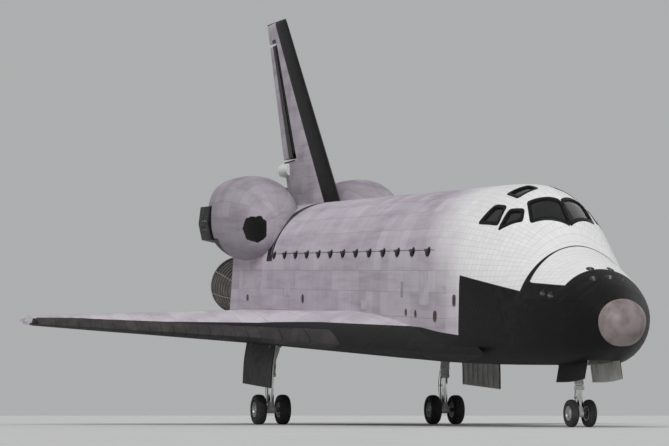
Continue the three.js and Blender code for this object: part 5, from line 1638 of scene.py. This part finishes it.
def nose_strut():
    foot = np.array([NOSE_GEAR["at"], 0, NOSE_AXLE])
    head = np.array([NOSE_GEAR["top"], 0, NOSE_GEAR["trunnion"]])
    long = np.linalg.norm(head - foot)
    away = (head - foot) / long

    def leg(share, aft, side):
        """A point at a share of the leg's length, moved aft and to the side."""
        return foot + away * long * share + (aft, side, 0)

    housing = [(0.46, 0), (0.46, 4.6), (0.47, 5.2), (0.52, 5.2), (0.53, 4.7), (0.7, 4.9), (0.71, 5.3),
               (0.76, 5.3), (0.77, 5.0), (1.1, 5.2), (1.12, 4.6), (1.12, 0)]
    actuator = [(0, 0), (0, 1.5), (9, 1.5), (9, 0.7), (13, 0.7), (13, 0)]
    parts = [(lathe([(share * long, r) for share, r in housing], foot, away, 48), GEAR_WHITE),
             (bar(head - (0, 20.7, 0), head + (0, 20.7, 0), 3, 28), GEAR_WHITE)]
    for out in (1, -1):
        parts.append((lathe(actuator, leg(0.62, 0, out * 5.6), away, 20), STEEL))
        hose = [leg(share, x, out * y) for share, x, y in
                ((1.0, 5.4, 2), (0.8, 6.6, 2.6), (0.6, 6.2, 2.8), (0.5, 5.8, 3))]
        parts.append((tube(curved(hose), 0.36, 8), RUBBER))
    piece("nose_strut_detail", parts, "airframe", ["nose_gear_strut"], "gear_metal", smooth=40)

    top = 0.45 * long
    collar = [(0.39 * long, 3.4), (0.39 * long, 5.9), (top, 5.9), (top, 3.4)]
    boss = [(-3.4, 0), (-3.4, 3.6), (-2.8, 4.4), (2.8, 4.4), (3.4, 3.6), (3.4, 0)]
    socket = [(2.5, 0), (2.5, 4.1), (6, 3.8), (7.5, 3.5), (7.5, 0)]
    parts = [(lathe([(0, 0), (0, 3.4), (top, 3.4), (top, 0)], foot, away, 40), CHROME),
             (lathe(collar, foot, away, 40), GEAR_WHITE), (lathe(boss, foot, TO_PORT, 36), GEAR_WHITE),
             (lathe(socket, foot, away, 36), GEAR_WHITE)]
    knee = leg(0.25, 11.5, 0)
    for start in (leg(0.42, 5.4, 0), leg(0.11, 4.2, 0)):
        parts += [(solid, GEAR_WHITE) for solid in torque_link(start, knee, 2.4, 0.85)]
    piece("nose_piston_detail", parts, "nose_steering_piston", ["nose_gear_piston"], "gear_metal", smooth=40)

    end, top = NOSE_BRACE["at"], NOSE_BRACE["height"]
    start, stop = leg(0.7, -5.6, 0), np.array([end, 0, top], float)
    pin = [(-2.4, 0), (-2.4, 2.4), (2.4, 2.4), (2.4, 0)]
    parts = [(bar(start, stop, 1.7, 24), GEAR_WHITE),
             (lathe(pin, mix(start, stop, 0.5), TO_PORT, 24), STEEL),
             (bar((end, -9, top), (end, 9, top), 2.2, 24), STEEL)]
    for out in (1, -1):
        lug = sorted([out * 9, out * 6])
        parts.append((box((end - 4, lug[0], top - 2), (end + 4, lug[1], top + 7.7)), GEAR_WHITE))
        parts.append((bar(leg(0.72, -4.6, out * 1.5), mix(start, stop, 0.45) + (0, out * 4.6, 0), 0.9, 16),
                      STEEL))
    piece("nose_brace_detail", parts, "airframe", ["nose_gear_brace"], "gear_metal", smooth=40)


def gear_doors():
    """Each door has a tiled outer face and a framed inner one."""
    front, back, edge = MAIN_WELL["front"] + 1, MAIN_WELL["back"] - 1, MAIN_WELL["outer"]
    floor = wing_floor(edge)
    bends = [-60.4, -30.4, -0.4]
    inner, outer = Smooth(bends, [5.5, 4.3, 0.5]), Smooth(bends, [7.5, 6.5, 2.5])
    levels = np.linspace(bends[0], bends[-1], 13)

    def slab(start, stop, near, far):
        """A stretch of the door between two faces, each given by its curve and inches more."""
        ring = [[edge + near[0](z) + near[1], floor + z] for z in levels]
        ring += [[edge + far[0](z) + far[1], floor + z] for z in levels[::-1]]
        return drawn(ring, start, stop)

    parts = [(slab(front, back, (inner, 0.7), (outer, 0)), SKIN_GEAR_DOOR),
             (slab(front + 1, back - 1, (inner, 0), (inner, 0.8)), WELL_PAINT)]
    for at in np.linspace(front + 3, back - 3, 8):
        parts.append((slab(at - 0.7, at + 0.7, (inner, -1.5), (inner, 0.2)), WELL_PAINT))
    for level in (-57, -40, -22, -5):
        corners = ((level - 0.7, -1.3), (level + 0.7, -1.3), (level + 0.7, 0.3), (level - 0.7, 0.3))
        ring = [[edge + inner(z) + k, floor + z] for z, k in corners]
        parts.append((drawn(ring, front + 2, back - 2), WELL_PAINT))
    for at in (front + 25, back - 25):
        path = [(at, edge - 0.2, floor + 9), (at, edge + 0.6, floor + 3), (at, edge + 1.6, floor - 3),
                (at, edge + inner(-9) - 0.4, floor - 9)]
        parts.append((tube(curved(path, 4), 1.5, 12), STEEL))
        ends = (at + 8, edge - 6, floor + 14), (at + 8, edge + inner(-24) - 0.8, floor - 24)
        parts.append((bar(*ends, 1.0, 14), CHROME))
    pair("main_door_detail", parts, "airframe", ["main_gear_door_{}"], slot="black_tile", smooth=35)

    front, back, half = NOSE_WELL["front"], NOSE_WELL["back"], NOSE_WELL["half"]

    def door(outline, rows):
        return loft([[[s, half + out, section(s)["floor"] + up] for out, up in outline] for s in rows])

    rows = np.linspace(front + 1, back - 1, 12)
    shell = [[-1.2, 1.5], [-0.2, 1.5], [-0.2, -2], [2.6, -20], [1.7, -20], [-1.2, -2]]
    lining = [[-1.8, 1.5], [-1.1, 1.5], [-1.1, -2], [1.8, -20], [1, -20], [-1.8, -2]]
    rib = [[-2.7, -1], [-1.7, -1], [-1.7, -2], [1.2, -19], [0.1, -19], [-2.7, -3]]
    parts = [(door(shell, rows), SKIN_GEAR_DOOR), (door(lining, rows), WELL_PAINT)]
    for s in np.linspace(front + 5, back - 5, 6):
        parts.append((door(rib, (s - 0.5, s + 0.5)), WELL_PAINT))
    for s in (front + 16, back - 16):
        floor = section(s)["floor"]
        path = [(s, half - out, floor + up) for out, up in ((3, 10), (2.5, 3), (2, -3), (1, -8))]
        parts.append((tube(curved(path, 4), 0.8, 12), STEEL))
    pair("nose_door_detail", parts, "airframe", ["nose_gear_door_{}"], slot="black_tile", smooth=35)


def well_frames():
    """Ribs, stringers and pipes inside the wheel wells."""
    front, back, inner, outer, roof = MAIN_WELL.values()
    ribs = [((inner, roof - 2.6), (outer, roof + 0.2)), ((inner - 0.2, 290), (inner + 2.2, roof)),
            ((outer - 2.2, 290), (outer + 0.2, roof))]
    parts = []
    for at in np.linspace(front + 12, back - 12, 8):
        if abs(at - MAIN_GEAR["at"]) < 9 or abs(at - MAIN_BRACE["at"]) < 9:
            continue
        parts += [(box((at - 0.8, *low), (at + 0.8, *high)), WELL_PAINT) for low, high in ribs]
    pipes = [(inner + 3.4, 312, 0.8, STEEL), (inner + 3.4, 306, 0.5, STEEL), (inner + 3.4, 299, 0.6, STEEL),
             (outer - 4, 310, 0.7, DARK_METAL)]
    for side, height, radius, paint in pipes:
        parts.append((bar((front + 0.5, side, height), (back - 0.5, side, height), radius, 12), paint))
    pair("main_well_frames", parts, "airframe", slot="cabin_interior", smooth=40)
    front, back, half, roof = NOSE_WELL.values()
    parts = []
    for at in (front + 8, front + 38, front + 54):
        floor = section(at)["floor"] + 6
        parts.append((box((at - 0.6, -half, roof - 2), (at + 0.6, half, roof + 0.2)), WELL_PAINT))
        for out in (1, -1):
            wall = sorted([out * half, out * (half - 1.6)])
            parts.append((box((at - 0.6, wall[0], floor), (at + 0.6, wall[1], roof)), WELL_PAINT))
    for side in (half - 2.6, 2.6 - half):
        parts.append((bar((front + 0.5, side, roof - 6), (back - 0.5, side, roof - 6), 0.6, 12), STEEL))
    piece("nose_well_frames", parts, "airframe", slot="cabin_interior", smooth=40)


# Small things on the skin

# Vents and access panels of both sides: station, height, length, tallness and a finish named below
SIDE_MARKS = [
    (515, 359, 8, 13, "dark"), (545, 372, 15, 10, "skin"), (571, 339, 12, 13, "dark"),
    (612, 372, 34, 40, "skin"), (641, 341, 8, 8, "dark"), (677, 342, 8, 8, "dark"),
    (694, 371, 9, 20, "worn"), (848, 349, 20, 12, "skin"), (1128, 354, 12, 12, "dark"),
    (1210, 366, 26, 18, "skin"), (1358, 372, 30, 24, "skin"), (1420, 352, 12, 9, "dark"),
    (1462, 380, 22, 30, "skin"),
]


def side_surface(station, height, lift):
    """A point on the flank of the fuselage, lift inches proud of it."""
    s = section(station)
    if height <= s["waist"]:
        return [station + s["slant"] * (height - s["floor"]), s["half"] + lift, height]
    share = min((height - s["waist"]) / (s["roof"] - s["waist"]), 1)
    half = s["half"] * (1 - share ** s["round"]) ** (1 / s["round"])
    return [station, half + lift, height]


def rounded(long, tall, radius, steps=5):
    outline = []
    for cx, cz, start in ((1, 1, 0), (-1, 1, 90), (-1, -1, 180), (1, -1, 270)):
        for turn in np.radians(np.linspace(start, start + 90, steps)):
            outline.append((cx * (long / 2 - radius) + radius * math.cos(turn),
                            cz * (tall / 2 - radius) + radius * math.sin(turn)))
    return outline


def mark_rings(mark, radius, rows, rounder=0):
    """Rings round a mark on the skin, one for each pair of inches outward and inches proud of the skin."""
    at, height, long, tall, _ = mark
    rings = []
    for grow, lift in rows:
        outline = rounded(long + 2 * grow, tall + 2 * grow, radius + rounder * grow)
        rings.append([side_surface(at + x, height + z, lift) for x, z in outline])
    return rings


def side_panels():
    parts = []
    finishes = {"dark": DARK_VENT, "skin": PANEL_SKIN, "worn": PANEL_WORN}
    for mark in SIDE_MARKS:
        _, _, long, tall, finish = mark
        vent = finish == "dark"
        radius = min(long, tall) * (0.42 if vent else 0.12)
        proud = 0.22 if vent else 0.3
        plate = mark_rings(mark, radius, [(0, -0.8), (0, proud - 0.08), (-0.16, proud)])
        parts.append((loft(plate), finishes[finish]))
        if vent:
            rim = mark_rings(mark, radius, [(0.1, -0.5), (0.1, 0.42), (1.0, 0.42), (1.2, -0.5)], 1)
            parts.append((hoop(rim), PANEL_WORN))
    pair("side_panel", parts, "airframe", slot="white_skin", smooth=15)


def hatch_detail():
    at, height = HATCH["at"], HATCH["height"]
    half = section(at)["half"]
    seal = [(-1, 6.0), (0.35, 6.2), (0.45, 7.2), (0.3, 8.2), (-1, 8.3)]
    edge = [(-1, 18.2), (0.22, 18.3), (0.22, 19.2), (-1, 19.3)]
    pane = [(0, 0), (0, 5.6), (0.3, 5.6), (0.3, 0)]
    grip = height - 10.5
    parts = [(lathe(seal, (at, half, height + 3), TO_PORT, 48), SKIN_BLACK),
             (lathe(edge, (at, half, height), TO_PORT, 64), SKIN_BLACK),
             (lathe(pane, (at, half - 2.2, height + 3), TO_PORT, 32), GLASS),
             (bar((at - 3.5, half + 0.5, grip), (at + 3.5, half + 0.5, grip), 0.5, 12), STEEL)]
    for x in (-3, 3):
        parts.append((bar((at + x, half - 0.8, grip), (at + x, half + 0.5, grip), 0.4, 10), STEEL))
    inner = half - WALL
    for reach, wide in ((17, 1.4), (11, 1.0)):
        ring = [(1, reach), (-0.9, reach), (-0.9, reach - wide), (1, reach - wide)]
        parts.append((lathe(ring, (at, inner, height), TO_PORT, 48), GEAR_WHITE))
    middle = np.array([at, inner - 0.3, height])
    for k in range(8):
        turn = 2 * math.pi * (k + 0.5) / 8
        arm = np.array([math.cos(turn), 0, math.sin(turn)])
        parts.append((bar(middle + arm * 10.5, middle + arm * 16.5, 0.7, 10), GEAR_WHITE))
        parts.append((bar(middle + arm * 17, middle + arm * 19, 0.9, 10), STEEL))
    hub = height - 3
    parts.append((bar((at, inner + 0.5, hub), (at, inner - 2, hub), 1.6, 20), STEEL))
    parts.append((bar((at, inner - 1.5, hub), (at + 8, inner - 1.5, hub - 2), 0.8, 12), STEEL))
    piece("hatch_detail", parts, "hatch", slot="white_tile", smooth=40)


FLIPPER = {"start": 116, "end": 455, "long": 24, "wide": 19.4, "step": 20, "lift": 0.3}


def flipper_panels():
    """The row of small plates over each elevon's hinge, with none over the gap between the elevons."""
    parts = []
    gap = ELEVONS[0][-1]
    for side in np.arange(FLIPPER["start"], FLIPPER["end"], FLIPPER["step"]):
        if side < gap < side + FLIPPER["wide"]:
            continue
        rings = []
        for s in np.linspace(side, side + FLIPPER["wide"], 4):
            points = np.array(wing_upper(float(s), 60))
            front = WING["hinge"] - hinge_half(float(s)) - FLIPPER["long"]
            stops = np.linspace(front, points[-1][0], 6)
            line = list(zip(stops, np.interp(stops, points[:, 0], points[:, 1])))
            under = [[a, s, z - 0.6] for a, z in line[::-1]]
            rings.append([[a, s, z + FLIPPER["lift"]] for a, z in line] + under)
        parts.append((loft(rings), PANEL_METAL))
    pair("flipper_panel", parts, "airframe", slot="attach_metal", smooth=30)


TANK_DOOR = {"at": 1362, "side": 56, "long": 50, "wide": 46}


def belly_doors():
    """The two round-cornered doors over the tank connections."""
    outline = rounded(TANK_DOOR["long"], TANK_DOOR["wide"], 5)
    rings = [[[TANK_DOOR["at"] + x * grow, TANK_DOOR["side"] + y * grow, BELLY + z] for x, y in outline]
             for grow, z in ((1, 0.6), (1, -0.22), (0.985, -0.3))]
    pair("tank_door", [(loft(rings), SKIN_BELLY)], "airframe", slot="black_tile", smooth=30)


# The lockers on the mid deck's forward and rear walls, which show through the open hatch
LOCKER = {"wide": 17, "tall": 10, "gap": 1, "walls": (398, 550), "reach": 54, "top": 384}
CEILING_LAMP = {"front": 425, "back": 535, "low": 392, "high": 395, "side": 30, "half": 3}
FLIGHT_DECK = 398
SEAT = {"at": 448, "side": 26}


def cabin_fit_out():
    """Seats and instrument panels behind the windows, and the mid deck's lockers."""
    parts = []
    for out in (1, -1):
        at, side = SEAT["at"], out * SEAT["side"]
        cushion = [[[at + x, side + y, FLIGHT_DECK + z] for x, y in rounded(18, 20, 3)] for z in (16, 21)]
        parts += [(loft(cushion), SEAT_CLOTH),
                  (moved(drawn(rounded(18, 30, 4), 0, 3.6), at + 9, side, FLIGHT_DECK + 36), SEAT_CLOTH),
                  (moved(drawn(rounded(11, 9, 3), 0, 3), at + 9.5, side, FLIGHT_DECK + 56), SEAT_CLOTH),
                  (bar((at, side, FLIGHT_DECK), (at, side, FLIGHT_DECK + 17), 3, 16), STEEL)]
        for y in (side - 10.5, side + 10.5):
            rest = bar((at - 7, y, FLIGHT_DECK + 27), (at + 9, y, FLIGHT_DECK + 28), 0.9, 10)
            parts.append((rest, DARK_METAL))
        for y in (10, 22, 34):
            rings = [[[419.4 + shift + z * 0.25, out * y + x, FLIGHT_DECK + 31 + z]
                      for x, z in rounded(9, 7.5, 1)] for shift in (0, 0.5)]
            parts.append((loft(rings), SCREEN))
        knob = [(0, 0), (0, 1.2), (3, 1.4), (4, 0.8), (4, 0)]
        parts.append((bar((434, side, FLIGHT_DECK + 20), (432, side, FLIGHT_DECK + 32), 0.7, 10), DARK_METAL))
        parts.append((lathe(knob, (432, side, FLIGHT_DECK + 31), UP, 16), RUBBER))
    locker = drawn(rounded(LOCKER["wide"], LOCKER["tall"], 1), -4, 4)
    for wall in LOCKER["walls"]:
        for side in np.arange(-LOCKER["reach"], LOCKER["reach"] + 1, LOCKER["wide"] + LOCKER["gap"]):
            for low in np.arange(CABIN["floor"] + 4, LOCKER["top"], LOCKER["tall"] + LOCKER["gap"]):
                parts.append((moved(locker, wall, side, low + LOCKER["tall"] / 2), GEAR_WHITE))
    front, back, low, high, out, half = CEILING_LAMP.values()
    for side in (-out, out):
        parts.append((box((front, side - half, low), (back, side + half, high)), LAMP))
    piece("cabin_fit_out", parts, "airframe", slot="cabin_interior", smooth=35)


def carried_over():
    """CAD nodes whose shape is right get their finish."""
    finishes = [
        (CABIN_GREY, ["flight_deck"]),
        (GLASS, ["windshield_glass", "overhead_window_left", "overhead_window_right"]),
        (STEEL, ["forward_attach_fitting", "aft_attach_fitting_left", "aft_attach_fitting_right"]),
    ]
    for paint, names in finishes:
        for name in names:
            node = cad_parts[name]
            node.data.materials.clear()
            node.data.materials.append(paint)


# Floor, light and camera

VIEW = {"azimuth": 70.4, "distance": 80.0, "height": 0.35, "margin": 1.06, "sensor": 36, "far": 3000}
SIZE = (669, 446)
# Soft suns: where each one stands from the craft, its strength and how wide it is in degrees
SUNS = {
    "key": {"place": (0.8, -0.42, 0.72), "strength": 1.75, "wide": 22},
    "fill": {"place": (-0.3, 0.85, 0.5), "strength": 0.35, "wide": 50},
}
SKY = {"colour": grey(0.86, (0.98, 0.99, 1.0)), "strength": 0.5}


def floor_material():
    p = Paint("studio_floor", 0.8)
    p.set(Base_Color=p.blend(p.ramp(p.noise(60, 4), 0.35, 0.7), grey(0.6), grey(0.63)))
    p.set(Roughness=p.ramp(p.noise(20, 3), 0.3, 0.7, 0.75, 0.85))
    return p.material


def studio():
    mesh = bpy.data.meshes.new("floor")
    reach = 1500
    corners = [(-reach, -reach, 0), (reach, -reach, 0), (reach, reach, 0), (-reach, reach, 0)]
    mesh.from_pydata(corners, [], [(0, 1, 2, 3)])
    mesh.materials.append(floor_material())
    made("floor", mesh)
    world = bpy.data.worlds.new("studio")
    bpy.context.scene.world = world
    world.use_nodes = True
    world.node_tree.nodes["Background"].inputs["Color"].default_value = SKY["colour"]
    world.node_tree.nodes["Background"].inputs["Strength"].default_value = SKY["strength"]
    for name, sun in SUNS.items():
        lamp = bpy.data.lights.new(name, "SUN")
        lamp.energy, lamp.angle = sun["strength"], math.radians(sun["wide"])
        obj = made(name, lamp)
        obj.location = Vector(sun["place"]) * 60
        obj.rotation_mode = "QUATERNION"
        obj.rotation_quaternion = (-Vector(sun["place"])).to_track_quat("-Z", "Y")
    bpy.context.scene.view_settings.view_transform = "Standard"


def camera():
    data = bpy.data.cameras.new("camera")
    obj = made("camera", data)
    low, high = CAD_BOX
    turn = math.radians(VIEW["azimuth"])
    centre = (low + high) / 2
    back = Vector((math.sin(turn), -math.cos(turn), 0))
    obj.location = Vector((centre.x, centre.y, 0)) + back * VIEW["distance"] + Vector((0, 0, VIEW["height"]))
    arms = [c.co - obj.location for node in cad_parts.values() for c in node.data.vertices]
    ahead = (centre - obj.location).normalized()
    for _ in range(4):
        right = ahead.cross(Vector(UP)).normalized()
        up = right.cross(ahead)
        seen = [(arm.dot(right) / arm.dot(ahead), arm.dot(up) / arm.dot(ahead)) for arm in arms]
        wide, tall = [(min(v), max(v)) for v in zip(*seen)]
        ahead = (ahead + right * sum(wide) / 2 + up * sum(tall) / 2).normalized()
    half = max((wide[1] - wide[0]) / 2, (tall[1] - tall[0]) / 2 * SIZE[0] / SIZE[1]) * VIEW["margin"]
    data.sensor_width = VIEW["sensor"]
    data.lens = data.sensor_width / 2 / half
    data.clip_end = VIEW["far"]
    obj.rotation_mode = "QUATERNION"
    obj.rotation_quaternion = ahead.to_track_quat("-Z", "Y")
    bpy.context.scene.camera = obj


camera()
studio()
nose()
forward_body()
mid_body()
bulkheads()
bay_doors()
aft_body()
engines()
pods()
wings()
tail()
rear_flap()
wheels()
main_struts()
nose_strut()
gear_doors()
well_frames()
side_panels()
hatch_detail()
flipper_panels()
belly_doors()
cabin_fit_out()
carried_over()
